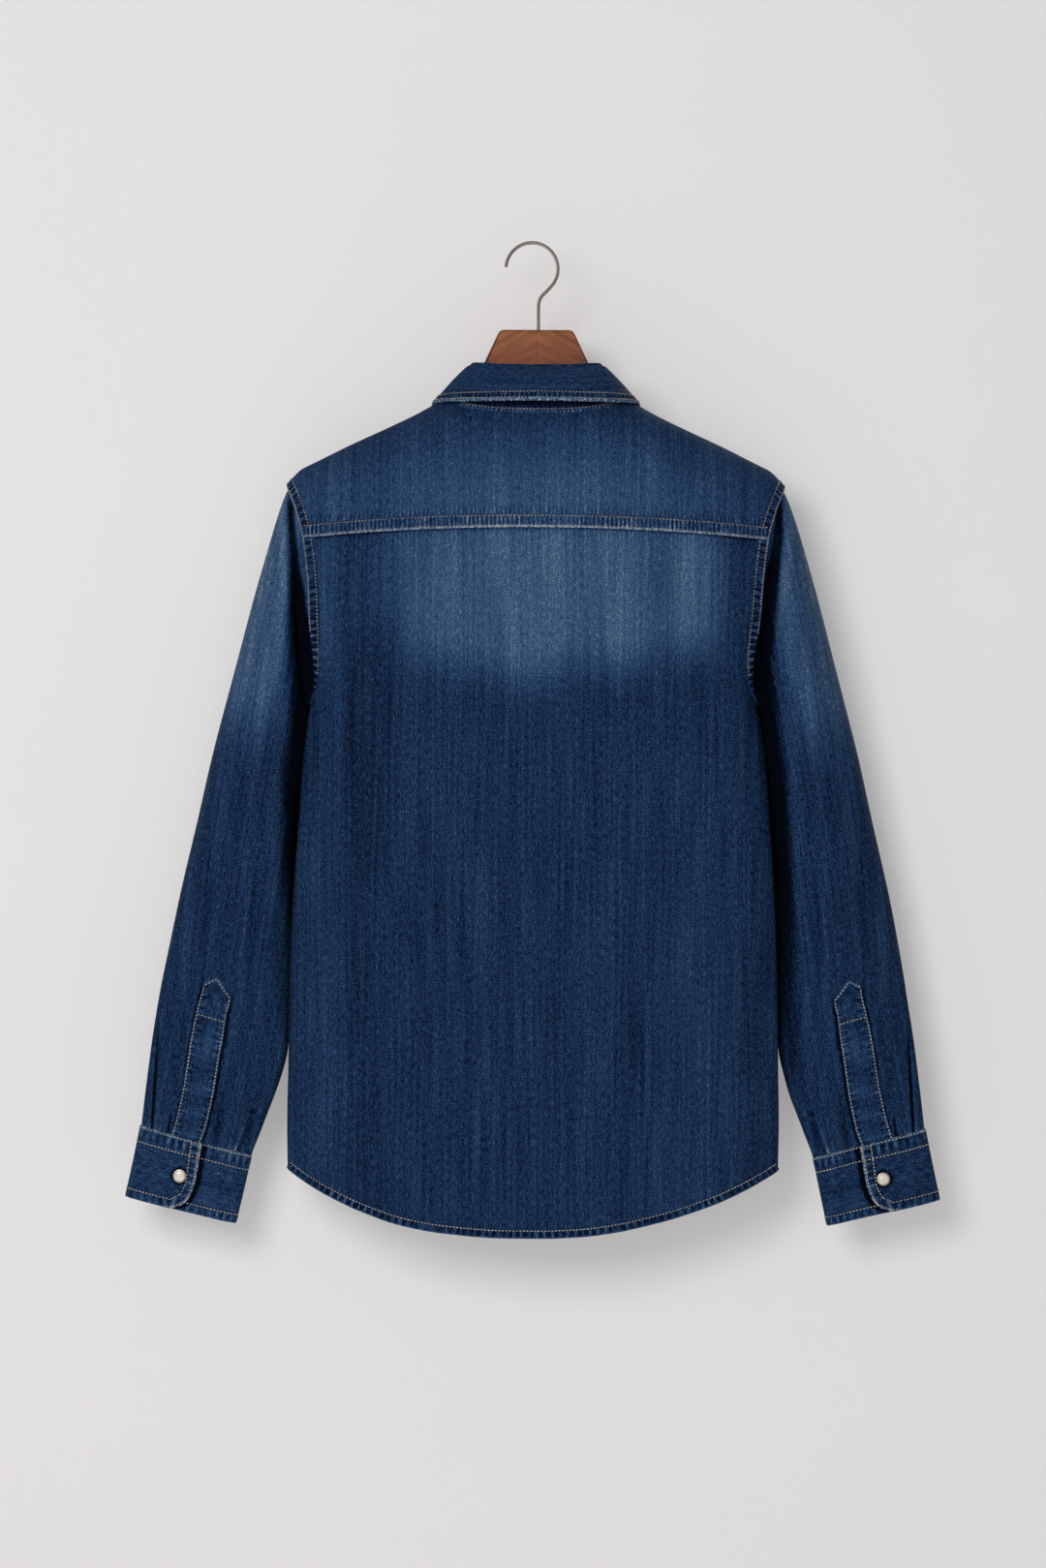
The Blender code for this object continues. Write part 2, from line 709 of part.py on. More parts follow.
def ring_point(ring, station, flatness=SLEEVE_FLATNESS):
    """A point of a sleeve's ring: 0 at its outer edge, 90 at the back, 180 at its inner edge."""
    turn_x = cos(radians(station))
    turn_y = sin(radians(station))
    across = abs(turn_x) ** (2 / flatness) * (1 if turn_x >= 0 else -1)
    deep = abs(turn_y) ** (2 / flatness) * (1 if turn_y >= 0 else -1)
    middle_x = (ring.outer_x + ring.inner_x) / 2
    middle_z = (ring.outer_z + ring.inner_z) / 2
    x = middle_x + (ring.outer_x - ring.inner_x) / 2 * across
    z = middle_z + (ring.outer_z - ring.inner_z) / 2 * across
    return Vector((x, ring.y + ring.depth * deep, z))


def sleeve_start(station):
    """The sleeve's end on the armhole, straight between the stations that the body uses."""
    before = ARM_STEP * int(station // ARM_STEP)
    after = before + ARM_STEP
    a = arm_point(before) + arm_away(before) * SEAM
    b = arm_point(after) + arm_away(after) * SEAM
    return a.lerp(b, (station - before) / ARM_STEP)


def sleeve_point(row, station):
    point = ring_point(ring_at(row), station)
    if row < ROUND_OFF_ROWS:
        start = sleeve_start(station)
        keep = (1 - row / ROUND_OFF_ROWS) ** 2
        point += (start - ring_point(RINGS[0], station)) * keep
    return point


def sleeve_relief(row, station):
    """Soft troughs at the elbow and the tucks that gather the sleeve into its cuff."""
    relief = 0.0
    for fold in ELBOWS:
        turn = (station - fold.angle + 180) % 360 - 180
        relief += fold.depth * exp(-(turn / fold.width) ** 2 - ((row - fold.row - turn / 60) / fold.height) ** 2)
    if 0 < station < 180:
        across = across_of(station)
        for tuck in TUCKS:
            near = exp(-((across - tuck.across) / tuck.width) ** 2)
            relief -= tuck.depth * near * ease((row - LAST_RING + tuck.length) / tuck.length)
    return relief


def across_of(station):
    """Share of the way from the sleeve's outer edge to its inner one, seen from behind."""
    turn = cos(radians(station))
    return (1 - abs(turn) ** (2 / SLEEVE_FLATNESS) * (1 if turn >= 0 else -1)) / 2


def station_of(across):
    turn = 1 - 2 * across
    turn = abs(turn) ** (SLEEVE_FLATNESS / 2) * (1 if turn >= 0 else -1)
    return acos(turn) * 180 / pi


def sleeve_frame(row, station):
    """A point of the sleeve's outer face and the normal there."""
    point = sleeve_point(row, station)
    row_a = max(row - 0.1, 0)
    row_b = min(row + 0.1, LAST_RING)
    down = sleeve_point(row_b, station) - sleeve_point(row_a, station)
    along = sleeve_point(row, station + 1.5) - sleeve_point(row, station - 1.5)
    normal = down.cross(along).normalized()
    ring = ring_at(row)
    middle = Vector(((ring.outer_x + ring.inner_x) / 2, ring.y, (ring.outer_z + ring.inner_z) / 2))
    if normal.dot(point - middle) < 0:
        normal.negate()
    return point + normal * sleeve_relief(row, station), normal


def sleeve_walls():
    grid = []
    inner = []
    for row in range(LAST_RING + 1):
        line = []
        inside = []
        for station in SLEEVE_STATIONS:
            point, normal = sleeve_frame(row, station)
            inward = -normal
            if row == 0:
                inward = kept_off(inward, arm_away(station))
            line.append(point)
            inside.append(point + inward * SHEET)
        grid.append(line)
        inner.append(inside)
    return grid, inner


def placket_walls():
    """The strip on the back of a sleeve, from its peak down to the cuff."""
    outer = []
    inner = []
    for strip in SLEEVE_PLACKET:
        ring = ring_at(strip.row)
        width = ring.outer_x - ring.inner_x
        low = []
        high = []
        for side in (-1, -0.33, 0.33, 1):
            across = strip.across + side * strip.half_width / width
            row = strip.row
            point, normal = sleeve_frame(row, station_of(across))
            low.append(point + normal * 0.55)
            high.append(point + normal * (0.55 + SHEET))
        outer.append(high)
        inner.append(low)
    return outer, inner


# Cuffs

CUFF_FLATNESS = 2.6
CUFF_HEIGHT_STEPS = 3
CUFF_AROUND_STEPS = 30
CUFF_UNDER_START = 0.26     # where the hidden end begins, across the cuff from its outer edge
CUFF_OVER_END = 0.565       # where the outer end stops
CUFF_CORNER = 0.20          # length of the rounded corner, across the cuff
CUFF_CORNER_RISE = 0.66     # height of the corner, as a share of the cuff
CUFF_LAP = 2.5


def cuff_station(across):
    turn = 1 - 2 * across
    turn = abs(turn) ** (CUFF_FLATNESS / 2) * (1 if turn >= 0 else -1)
    return acos(turn) * 180 / pi


def cuff_ring(share):
    return Ring(*[mix(a, b, share) for a, b in zip(CUFF_TOP, CUFF_BOTTOM)])


def cuff_point(share, station):
    return ring_point(cuff_ring(share), station, CUFF_FLATNESS)


def cuff_normal(share, station):
    along = cuff_point(share, station + 1) - cuff_point(share, station - 1)
    down = cuff_point(1, station) - cuff_point(0, station)
    normal = down.cross(along).normalized()
    ring = cuff_ring(share)
    middle = Vector(((ring.outer_x + ring.inner_x) / 2, ring.y, (ring.outer_z + ring.inner_z) / 2))
    return normal if normal.dot(cuff_point(share, station) - middle) > 0 else -normal


def cuff_walls():
    start = cuff_station(CUFF_UNDER_START)
    end = 360 + cuff_station(CUFF_OVER_END)
    corner = 360 + cuff_station(CUFF_OVER_END - CUFF_CORNER)
    stations = [mix(start, corner, i / (CUFF_AROUND_STEPS - 4)) for i in range(CUFF_AROUND_STEPS - 4)]
    stations += [mix(corner, end, share) for share in (0, 0.4, 0.72, 0.92, 1)]
    outer = []
    inner = []
    for v in range(CUFF_HEIGHT_STEPS + 1):
        line = []
        inside = []
        for station in stations:
            bend = max(0.0, (station - corner) / (end - corner))
            low = 1 - CUFF_CORNER_RISE * (1 - sqrt(max(0.0, 1 - bend * bend)))
            share = low * v / CUFF_HEIGHT_STEPS
            under = 1 - ease((station - cuff_station(CUFF_OVER_END + 0.04)) / 40)
            normal = cuff_normal(share, station)
            point = cuff_point(share, station) - normal * CUFF_LAP * under
            line.append(point)
            inside.append(point - normal * DOUBLE)
        outer.append(line)
        inner.append(inside)
    return outer, inner


CUFF_SNAP_ACROSS = 0.446
CUFF_SNAP_SHARE = 0.536
CUFF_SNAP_LIFT = 0.5

SNAP_PROFILE = [(1.0, 0.0), (1.0, 1.1), (0.78, 1.7)]
SNAP_CROWN = 2.1


def snap(name, place, normal):
    """A round fastener with a rim and a low dome, seated on the cloth at place."""
    normal = normal.normalized()
    side = normal.cross(Vector((0, 0, 1))).normalized()
    up = side.cross(normal)
    points = []
    for radius, height in SNAP_PROFILE:
        for i in range(SNAP_SIDES):
            turn = 2 * pi * i / SNAP_SIDES
            ray = side * cos(turn) + up * sin(turn)
            points.append(place + ray * radius * SNAP_RADIUS + normal * height)
    crown = len(points)
    points.append(place + normal * SNAP_CROWN)
    faces = [tuple(range(SNAP_SIDES))]
    for ring in range(len(SNAP_PROFILE) - 1):
        for i in range(SNAP_SIDES):
            j = (i + 1) % SNAP_SIDES
            low = ring * SNAP_SIDES
            faces.append((low + i, low + j, low + SNAP_SIDES + j, low + SNAP_SIDES + i))
    last = crown - SNAP_SIDES
    for i in range(SNAP_SIDES):
        faces.append((last + i, last + (i + 1) % SNAP_SIDES, crown))
    solid(name, points, faces, (0.72, 0.68, 0.60), 0.3)


def make_sleeve_pieces():
    sleeve = sleeve_walls()
    placket = placket_walls()
    cuff = cuff_walls()
    station = cuff_station(CUFF_SNAP_ACROSS)
    normal = cuff_normal(CUFF_SNAP_SHARE, station)
    place = cuff_point(CUFF_SNAP_SHARE, station) + normal * CUFF_SNAP_LIFT
    for word, flip in (("left", False), ("right", True)):
        turn = mirrored if flip else (lambda grid: grid)
        wall("sleeve_" + word, turn(sleeve[0]), turn(sleeve[1]), DENIM, DENIM_ROUGHNESS, loop=True)
        wall("sleeve_placket_" + word, turn(placket[0]), turn(placket[1]), DENIM, DENIM_ROUGHNESS)
        wall("cuff_" + word, turn(cuff[0]), turn(cuff[1]), DENIM, DENIM_ROUGHNESS)
        seat = turn([[place, normal]])[0]
        snap("snap_cuff_" + word, seat[0], seat[1])


FRONT_SNAPS = 6
FRONT_SNAP_TOP = -288.0
FRONT_SNAP_STEP = 88.0
FRONT_SNAP_LIFT = PLACKET_LIFT + 0.5
COLLAR_SNAP_SHARE = 0.5


def make_front_snaps():
    for i in range(FRONT_SNAPS):
        z = FRONT_SNAP_TOP - FRONT_SNAP_STEP * i
        place = body_point(0, z, -1)
        normal = body_normal(place, -1)
        snap("snap_front_%d" % (i + 1), place + normal * FRONT_SNAP_LIFT, normal)
    low = neck_point(180)
    top = stand_top(180)
    normal = (top - low).cross(Vector((1, 0, 0))).normalized()
    if normal.y > 0:
        normal.negate()
    snap("snap_collar", low.lerp(top, COLLAR_SNAP_SHARE) + normal * 0.4, normal)


# Hanger

def wood_section(wood):
    """A rounded oblong across the hanger's arm, counted round from the middle of its top."""
    d = wood.half_depth
    r = min(wood.corner, d - 0.5)
    s = r * (1 - sqrt(0.5))
    quarter = [(0, 0), (d - r, 0), (d - s, s), (d, r)]
    top = [(y, wood.top - drop) for y, drop in quarter]
    low = [(y, wood.bottom + drop) for y, drop in reversed(quarter)]
    half = top + low
    other = [(-y, z) for y, z in reversed(half[1:-1])]
    return half + other


def make_hanger_wood():
    rows = list(WOOD)
    last_x = WOOD_ARM_X[-1]
    for x in WOOD_ARM_X:
        tip = (x - WOOD_ARM_X[0]) / (last_x - WOOD_ARM_X[0])
        close = max(0.0, (x - 186) / (last_x - 186))
        round_off = sqrt(max(0.12, 1 - close * close))
        depth = mix(WOOD_ARM_DEPTH, WOOD_TIP_DEPTH, tip) * round_off
        slope = (ridge_z(x + 2) - ridge_z(x - 2)) / 4
        top = ridge_z(x) - (DOUBLE + HANGER_SEAT) * sqrt(1 + slope * slope)
        middle = top - WOOD_ARM_HEIGHT / 2
        height = WOOD_ARM_HEIGHT * (1 - 0.25 * tip)
        if close > 0:
            height *= round_off
            top = mix(top, middle, 0.75 * (1 - round_off))
        rows.append(Wood(x, top, top - height, depth, depth * 0.8))
    rows = [row._replace(x=-row.x) for row in reversed(rows[1:])] + rows
    points = []
    for row in rows:
        points += [Vector((row.x, y, z)) for y, z in wood_section(row)]
    count = len(wood_section(rows[0]))
    faces = [tuple(range(count)), tuple(range(len(points) - count, len(points)))]
    for r in range(len(rows) - 1):
        for i in range(count):
            j = (i + 1) % count
            low = r * count
            faces.append((low + i, low + j, low + count + j, low + count + i))
    solid("hanger_wood", points, faces, (0.165, 0.062, 0.028), 0.45)


HOOK_START_DEGREES = 176
HOOK_END_DEGREES = -46
HOOK_ARC_STEPS = 18
STEM_X = -5.9
HookBend = namedtuple("HookBend", "x z")
HOOK_NECK = [
    HookBend(-13.2, -43.4), HookBend(-9.6, -46.8), HookBend(-7.2, -50.4), HookBend(-6.1, -54.6),
    HookBend(STEM_X, -60), HookBend(STEM_X, -79.5 + SEAM),
]


def make_hook():
    """The wire bow, in world coordinates, with the hang point inside its top."""
    centre_z = -(HOOK_RADIUS - WIRE_RADIUS)
    route = []
    for i in range(HOOK_ARC_STEPS + 1):
        turn = radians(mix(HOOK_START_DEGREES, HOOK_END_DEGREES, i / HOOK_ARC_STEPS))
        route.append((-HOOK_RADIUS * cos(turn), centre_z + HOOK_RADIUS * sin(turn)))
    route += [(bend.x, bend.z) for bend in HOOK_NECK]
    curve = bpy.data.curves.new("hanger_hook", "CURVE")
    curve.dimensions = "3D"
    curve.bevel_depth = WIRE_RADIUS * MM
    curve.bevel_resolution = 2
    curve.use_fill_caps = True
    spline = curve.splines.new("POLY")
    spline.points.add(len(route) - 1)
    for point, (x, z) in zip(spline.points, route):
        point.co = (x * MM, 0, z * MM, 1)
    hook = bpy.data.objects.new("hanger_hook", curve)
    bpy.context.scene.collection.objects.link(hook)
    curve.materials.append(material("hanger_hook", (0.55, 0.53, 0.50), 0.3, 1.0))


make_back()
make_yoke()
make_fronts()
make_stand()
make_leaf()
make_sleeve_pieces()
make_front_snaps()
make_hanger_wood()
make_hook()
bpy.context.view_layer.update()
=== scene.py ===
# %% [markdown]
# # A denim shirt on a wooden hanger
#
# A long-sleeved shirt of washed denim hangs closed on a hanger. The rigid model gives the place of
# every cut and sewn piece. This lesson dresses it: thin cloth with creases, lapped seams, gathers
# along the stitching, real thread, a washed twill finish, pearl snaps and varnished wood.
#
# Shapes are measured in millimetres from the middle of the shirt and from the hang point inside the
# hook, and turned into metres when a mesh is made.

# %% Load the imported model
from collections import namedtuple

import bmesh
import bpy
import numpy as np
from mathutils import Matrix, Vector


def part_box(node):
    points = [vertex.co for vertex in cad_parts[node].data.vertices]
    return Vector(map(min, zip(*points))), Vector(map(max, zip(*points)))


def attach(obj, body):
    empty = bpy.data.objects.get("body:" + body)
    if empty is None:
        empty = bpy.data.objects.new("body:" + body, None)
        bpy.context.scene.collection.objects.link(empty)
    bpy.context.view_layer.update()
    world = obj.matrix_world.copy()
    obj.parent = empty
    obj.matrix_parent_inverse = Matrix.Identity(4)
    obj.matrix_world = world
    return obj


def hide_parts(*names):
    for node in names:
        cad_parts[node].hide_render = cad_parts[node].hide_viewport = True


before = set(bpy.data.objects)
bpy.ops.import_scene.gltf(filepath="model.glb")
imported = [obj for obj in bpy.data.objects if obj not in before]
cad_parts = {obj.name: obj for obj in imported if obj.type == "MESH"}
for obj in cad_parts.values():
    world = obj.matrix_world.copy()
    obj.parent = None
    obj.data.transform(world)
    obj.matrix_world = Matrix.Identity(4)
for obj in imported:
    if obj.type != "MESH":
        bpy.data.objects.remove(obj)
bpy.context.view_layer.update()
bpy.ops.object.select_all(action="DESELECT")
MM = 0.001

# %% [markdown]
# ## Camera, room and light
#
# The shirt shows its back, seen straight on from a few metres away, with a long lens so that the
# sleeves keep their width. It hangs just in front of a pale wall. The wall is a plane whose rear
# face lets the view through, so the front of the shirt can be looked at too. One large soft lamp
# stands high on the left, a weaker one fills in from the right, and another pair lights the front.

# %% Camera
CAMERA_DISTANCE = 3.5
FRAME_HEIGHT = 1.4409      # metres that the view covers from top to bottom, at the hanger
SENSOR = 36.0

camera_data = bpy.data.cameras.new("camera")
camera_data.sensor_fit = "VERTICAL"
camera_data.sensor_height = SENSOR
camera_data.lens = SENSOR * CAMERA_DISTANCE / FRAME_HEIGHT
camera_data.clip_end = 50
camera = bpy.data.objects.new("camera", camera_data)
camera.location = (0.0083, CAMERA_DISTANCE, -0.4958)
camera.rotation_euler = (np.pi / 2, 0, np.pi)
bpy.context.scene.collection.objects.link(camera)
bpy.context.scene.camera = camera
bpy.context.scene.view_settings.view_transform = "Standard"
print("lens: %.1f mm" % camera_data.lens)

# %% [markdown]
# ## Writing materials as maths
#
# A finish is a small graph of nodes. To keep it readable, `Mask` wraps the output of a node, so
# that `1 - mask * 0.5` adds the Math nodes by itself. `Finish` makes a material and adds any other
# node in one call.

# %% A socket that can be calculated with
class Mask:
    """A number that changes over a surface."""

    def __init__(self, finish, socket):
        self.finish = finish
        self.socket = socket

    def maths(self, operation, first, second, clamp=False):
        made = self.finish.node("ShaderNodeMath", {"operation": operation, "use_clamp": clamp},
                                {0: first, 1: second})
        return Mask(self.finish, made.outputs[0])

    def __add__(self, other):
        return self.maths("ADD", self, other)

    def __radd__(self, other):
        return self.maths("ADD", other, self)

    def __sub__(self, other):
        return self.maths("SUBTRACT", self, other)

    def __rsub__(self, other):
        return self.maths("SUBTRACT", other, self)

    def __mul__(self, other):
        return self.maths("MULTIPLY", self, other)

    def __rmul__(self, other):
        return self.maths("MULTIPLY", other, self)

    def clamped(self):
        return self.maths("ADD", self, 0.0, clamp=True)

    def step(self, low, high):
        """0 below low, 1 above high and a soft step between."""
        made = self.finish.node(
            "ShaderNodeMapRange", {"interpolation_type": "SMOOTHSTEP"},
            {"Value": self, "From Min": low, "From Max": high})
        return Mask(self.finish, made.outputs[0])


class Finish:
    """A material whose nodes are added one call at a time."""

    def __init__(self, name):
        self.material = bpy.data.materials.new(name)
        self.material.use_nodes = True
        self.tree = self.material.node_tree
        self.shader = self.tree.nodes["Principled BSDF"]

    def link(self, value, socket):
        if isinstance(value, Mask):
            value = value.socket
        if isinstance(value, bpy.types.NodeSocket):
            self.tree.links.new(value, socket)
        else:
            socket.default_value = value

    def node(self, kind, settings=None, inputs=None):
        made = self.tree.nodes.new(kind)
        for key, value in (settings or {}).items():
            if key == "stops":
                ramp = made.color_ramp
                while len(ramp.elements) < len(value):
                    ramp.elements.new(0.5)
                for element, (place, colour) in zip(ramp.elements, value):
                    element.position = place
                    element.color = (*colour, 1.0)
            else:
                setattr(made, key, value)
        for key, value in (inputs or {}).items():
            self.link(value, made.inputs[key])
        return made

    def stretched(self, vector, scale, turn=0.0):
        made = self.node("ShaderNodeMapping", {"vector_type": "POINT"},
                         {"Vector": vector, "Scale": scale, "Rotation": (0.0, 0.0, turn)})
        return made.outputs[0]

    def noise(self, vector, scale, detail=2.0, roughness=0.5, turn=0.0):
        made = self.node("ShaderNodeTexNoise", {"noise_dimensions": "3D"},
                         {"Vector": self.stretched(vector, scale, turn), "Scale": 1.0,
                          "Detail": detail, "Roughness": roughness})
        return Mask(self, made.outputs[0])

    def wave(self, vector, scale, distortion, detail_scale):
        made = self.node("ShaderNodeTexWave", {"wave_type": "BANDS", "bands_direction": "X"},
                         {"Vector": vector, "Scale": scale, "Distortion": distortion, "Detail": 2.0,
                          "Detail Scale": detail_scale})
        return Mask(self, made.outputs["Fac"])

    def place(self):
        """Where a spot lies on its piece, in metres."""
        return self.node("ShaderNodeTexCoord").outputs["Object"]

    def colour(self, stops, factor):
        """The base colour, taken from a ramp."""
        ramp = self.node("ShaderNodeValToRGB", {"stops": stops}, {0: factor})
        self.link(ramp.outputs[0], self.shader.inputs["Base Color"])

    def roughness(self, value):
        self.link(value, self.shader.inputs["Roughness"])

    def relief(self, height, strength, distance):
        """Relief that is too small for the mesh."""
        made = self.node("ShaderNodeBump", None,
                         {"Height": height, "Strength": strength, "Distance": distance})
        self.link(made.outputs[0], self.shader.inputs["Normal"])

    def constant(self, **values):
        for key, value in values.items():
            self.shader.inputs[key.replace("_", " ")].default_value = value


print("finish helpers ready")

# %% Wall, floor and lamps
def plain_finish(name, colour, glow, see_through_rear):
    finish = Finish(name)
    grain = finish.noise(finish.place(), (3.0, 3.0, 3.0))
    finish.colour([(0.3, colour), (0.7, [c * 0.985 for c in colour])], grain)
    finish.constant(Roughness=0.95, Emission_Color=(1.0, 0.99, 0.98, 1.0), Emission_Strength=glow)
    if see_through_rear:
        rear = finish.node("ShaderNodeNewGeometry").outputs["Backfacing"]
        clear = finish.node("ShaderNodeBsdfTransparent").outputs[0]
        both = finish.node("ShaderNodeMixShader", None, {0: rear, 1: finish.shader.outputs[0], 2: clear})
        finish.link(both.outputs[0], finish.tree.nodes["Material Output"].inputs["Surface"])
    return finish.material


WALL_Y = -0.088
FLOOR_Z = -1.45


def plane(name, size, location, rotation, material):
    bpy.ops.mesh.primitive_plane_add(size=size, location=location, rotation=rotation)
    made = bpy.context.object
    made.name = name
    made.data.materials.append(material)
    bpy.ops.object.select_all(action="DESELECT")
    return made


# The wall also glows a little. The glow stands in for room light and keeps it evenly bright beside the shirt.
wall = plane("studio_wall", 5.0, (0, WALL_Y, FLOOR_Z + 2.5), (-np.pi / 2, 0, 0),
             plain_finish("wall_paint", (0.485, 0.472, 0.470), 0.265, True))
wall.visible_shadow = False
plane("studio_floor", 9.0, (0, 0, FLOOR_Z), (0, 0, 0),
      plain_finish("floor_paint", (0.78, 0.77, 0.76), 0.0, False))

Lamp = namedtuple("Lamp", "name place aim size watts")
LAMPS = [
    Lamp("key", (0.85, 3.0, 0.30), (0, 0, -0.5), 1.0, 56),
    Lamp("soft", (0.3, 3.4, -0.4), (0, 0, -0.5), 2.2, 24),
    Lamp("front_key", (-1.5, -2.6, 0.9), (0, 0, -0.45), 1.6, 46),
    Lamp("front_fill", (1.9, -2.3, -0.3), (0, 0, -0.5), 2.0, 16),
]
for lamp in LAMPS:
    data = bpy.data.lights.new(lamp.name, "AREA")
    data.energy = lamp.watts
    data.size = lamp.size
    made = bpy.data.objects.new(lamp.name, data)
    made.location = lamp.place
    made.rotation_euler = (Vector(lamp.aim) - Vector(lamp.place)).to_track_quat("-Z", "Y").to_euler()
    made.visible_camera = False
    bpy.context.scene.collection.objects.link(made)

world = bpy.data.worlds.new("room")
world.use_nodes = True
world.node_tree.nodes["Background"].inputs["Color"].default_value = (0.80, 0.80, 0.80, 1)
world.node_tree.nodes["Background"].inputs["Strength"].default_value = 0.28
bpy.context.scene.world = world
print("lamps:", len(LAMPS))

# %% [markdown]
# ## The washed denim
#
# Denim is a twill: blue warp threads run down the cloth and show on its face, white weft runs
# across. The warp is uneven, so the face shows long thin slubs. Washing takes the blue off where the
# cloth stands proud: on edges, on the small gathers along a seam and where it was rubbed. Each mesh
# carries four marks for this: how faded it is, how worn an edge is, where gathers are, and
# how high they stand. The first mark also carries painted shade: in the valley beside each sleeve,
# in the tucks' slits, beside lapped edges, under the collar and along some seams. It also carries a
# painted highlight on each sleeve head. The cloth's own map, in metres, keeps the weave at its true
# size and turned with the cut of the piece.

# %% Denim finish
TONES = [
    (0.00, (0.0001, 0.0011, 0.0042)),
    (0.08, (0.0016, 0.0062, 0.0215)),
    (0.25, (0.0066, 0.0215, 0.0650)),
    (0.45, (0.0170, 0.0465, 0.1130)),
    (0.66, (0.0470, 0.0980, 0.1870)),
    (0.84, (0.1450, 0.2050, 0.2750)),
    (1.00, (0.4200, 0.4300, 0.4400)),
]
PUCKER = 3.9               # millimetres from one small gather of a seam to the next
RUNGS = 80.6               # a wave texture of this scale repeats at that distance
TWILL = 300.0              # and one of this scale about once a millimetre
TWILL_TURN = 1.05          # the twill's slant, in radians
# The first mark is fading with painted shade and highlights; FADE_STEP scales it.
FADE_STEP = 0.325          # how much one unit of fade lifts the tone


def denim(name, tone_level):
    finish = Finish(name)
    cloth = finish.node("ShaderNodeUVMap", {"uv_map": "cloth"}).outputs[0]
    seam = finish.node("ShaderNodeUVMap", {"uv_map": "seam"}).outputs[0]
    marks = finish.node("ShaderNodeAttribute", {"attribute_name": "marks"})
    parts = finish.node("ShaderNodeSeparateColor", None, {0: marks.outputs["Color"]})
    # The first mark: fading, with painted shade and painted highlights in some places.
    fade = Mask(finish, parts.outputs[0])
    worn = Mask(finish, parts.outputs[1])
    gathers = Mask(finish, parts.outputs[2])
    height = Mask(finish, marks.outputs["Alpha"])

    grain = finish.noise(cloth, (820, 180, 1), 3.0, 0.6)
    slub = finish.noise(cloth, (330, 9, 1), 2.0, 0.5)
    fleck = finish.noise(cloth, (1100, 840, 1), 2.0, 0.6)
    broad = finish.noise(cloth, (46, 2.6, 1), 2.0, 0.5)
    cloud = finish.noise(cloth, (16, 12, 1), 2.0, 0.5)
    ticks = finish.noise(seam, (290, 90, 1), 2.0, 0.55).step(0.42, 0.60)
    rungs = finish.wave(finish.stretched(seam, (1, 0.12, 1)), RUNGS, 1.8, 1.2).step(0.30, 0.90)
    peaks = height.step(-0.05, 0.6)

    strength = 1.25 - fade.clamped() * 0.25
    tone = tone_level + fade * FADE_STEP
    for pattern, amount in ((grain, 0.72), (slub, 0.34), (fleck, 1.20)):
        tone = tone + (pattern - 0.5) * amount * strength
    for pattern, amount in ((broad, 0.22), (cloud, 0.10)):
        tone = tone + (pattern - 0.5) * amount
    tone = tone + gathers * (peaks * 0.30 + rungs * 0.27 + ticks * 0.12 - 0.26)
    tone = tone + worn * (0.34 + ticks * 0.20 + (fleck - 0.5) * 0.5)
    finish.colour(TONES, tone.clamped())

    twill = finish.wave(finish.stretched(cloth, (1, 1, 1), TWILL_TURN), TWILL, 2.0, 1.5)
    relief = twill * 0.35 + grain * 0.6 + fleck * 0.3
    relief = relief + gathers * (ticks * 0.8 + rungs * 1.0 + peaks * 0.8)
    finish.relief(relief, 0.55, 0.0006)
    finish.roughness(0.93 - tone.clamped() * 0.12)
    finish.constant(Specular_IOR_Level=0.05)
    return finish.material


DENIM = denim("washed_denim", 0.248)
print("denim nodes:", len(DENIM.node_tree.nodes))

# %% [markdown]
# ## Smooth curves through a few places
#
# A pattern cutter draws a curve through a handful of marks. `Curve` does the same: it passes through
# every mark and never overshoots. It works on whole arrays, so a fine grid of cloth costs one call.

# %% Curves and steps
class Curve:
    """A smooth curve through a few marked places."""

    def __init__(self, marks):
        marks = sorted(marks)
        self.at = np.array([m[0] for m in marks], float)
        self.value = np.array([m[1] for m in marks], float)
        rise = np.diff(self.value) / np.diff(self.at)
        slope = np.zeros(len(marks))
        slope[0], slope[-1] = rise[0], rise[-1]
        same = rise[:-1] * rise[1:] > 0
        total = np.where(same, rise[:-1] + rise[1:], 1.0)
        slope[1:-1] = np.where(same, 2 * rise[:-1] * rise[1:] / total, 0.0)
        self.slope = slope

    def __call__(self, at):
        at = np.clip(at, self.at[0], self.at[-1])
        i = np.clip(np.searchsorted(self.at, at) - 1, 0, len(self.at) - 2)
        width = self.at[i + 1] - self.at[i]
        t = (at - self.at[i]) / width
        start = self.value[i] * (1 + 2 * t) * (1 - t) ** 2 + self.slope[i] * width * t * (1 - t) ** 2
        end = self.value[i + 1] * t * t * (3 - 2 * t) + self.slope[i + 1] * width * t * t * (t - 1)
        return start + end


def ease(t):
    t = np.clip(t, 0.0, 1.0)
    return t * t * (3 - 2 * t)


def mix(a, b, t):
    return a + (b - a) * t


def bump(x, middle, width):
    """1 at the middle and a soft fall to both sides."""
    return np.exp(-((x - middle) / width) ** 2)


def join(x, y, z):
    """One array of points from three arrays of coordinates."""
    return np.stack(np.broadcast_arrays(x, y, z), axis=-1).astype(float)


def unit(vectors):
    return vectors / np.maximum(np.linalg.norm(vectors, axis=-1, keepdims=True), 1e-9)


print("a curve at 0.5:", Curve([(0, 0), (1, 1)])(0.5))

# %% [markdown]
# ## The body form
#
# The hanging shirt is a flat rounded form, open at the neck and armholes. All body pieces lie on it,
# so seams meet without fitting. Its marks are the shoulder line, the side edge, and the depth of the
# back and front.

# %% Marks of the body form
SYMMETRY_X = -4.4
LEAN = np.radians(-0.25)
SHOULDER_Z = -223.0
UNDERARM_Z = -420.0
SIDE_HEM_Z = -848.0
ARCH = 60.0
ROLL = 80.0
FLATNESS = 2.5
SIDE_FLATNESS = 5.0
ARM_TURN_Z = -345.0

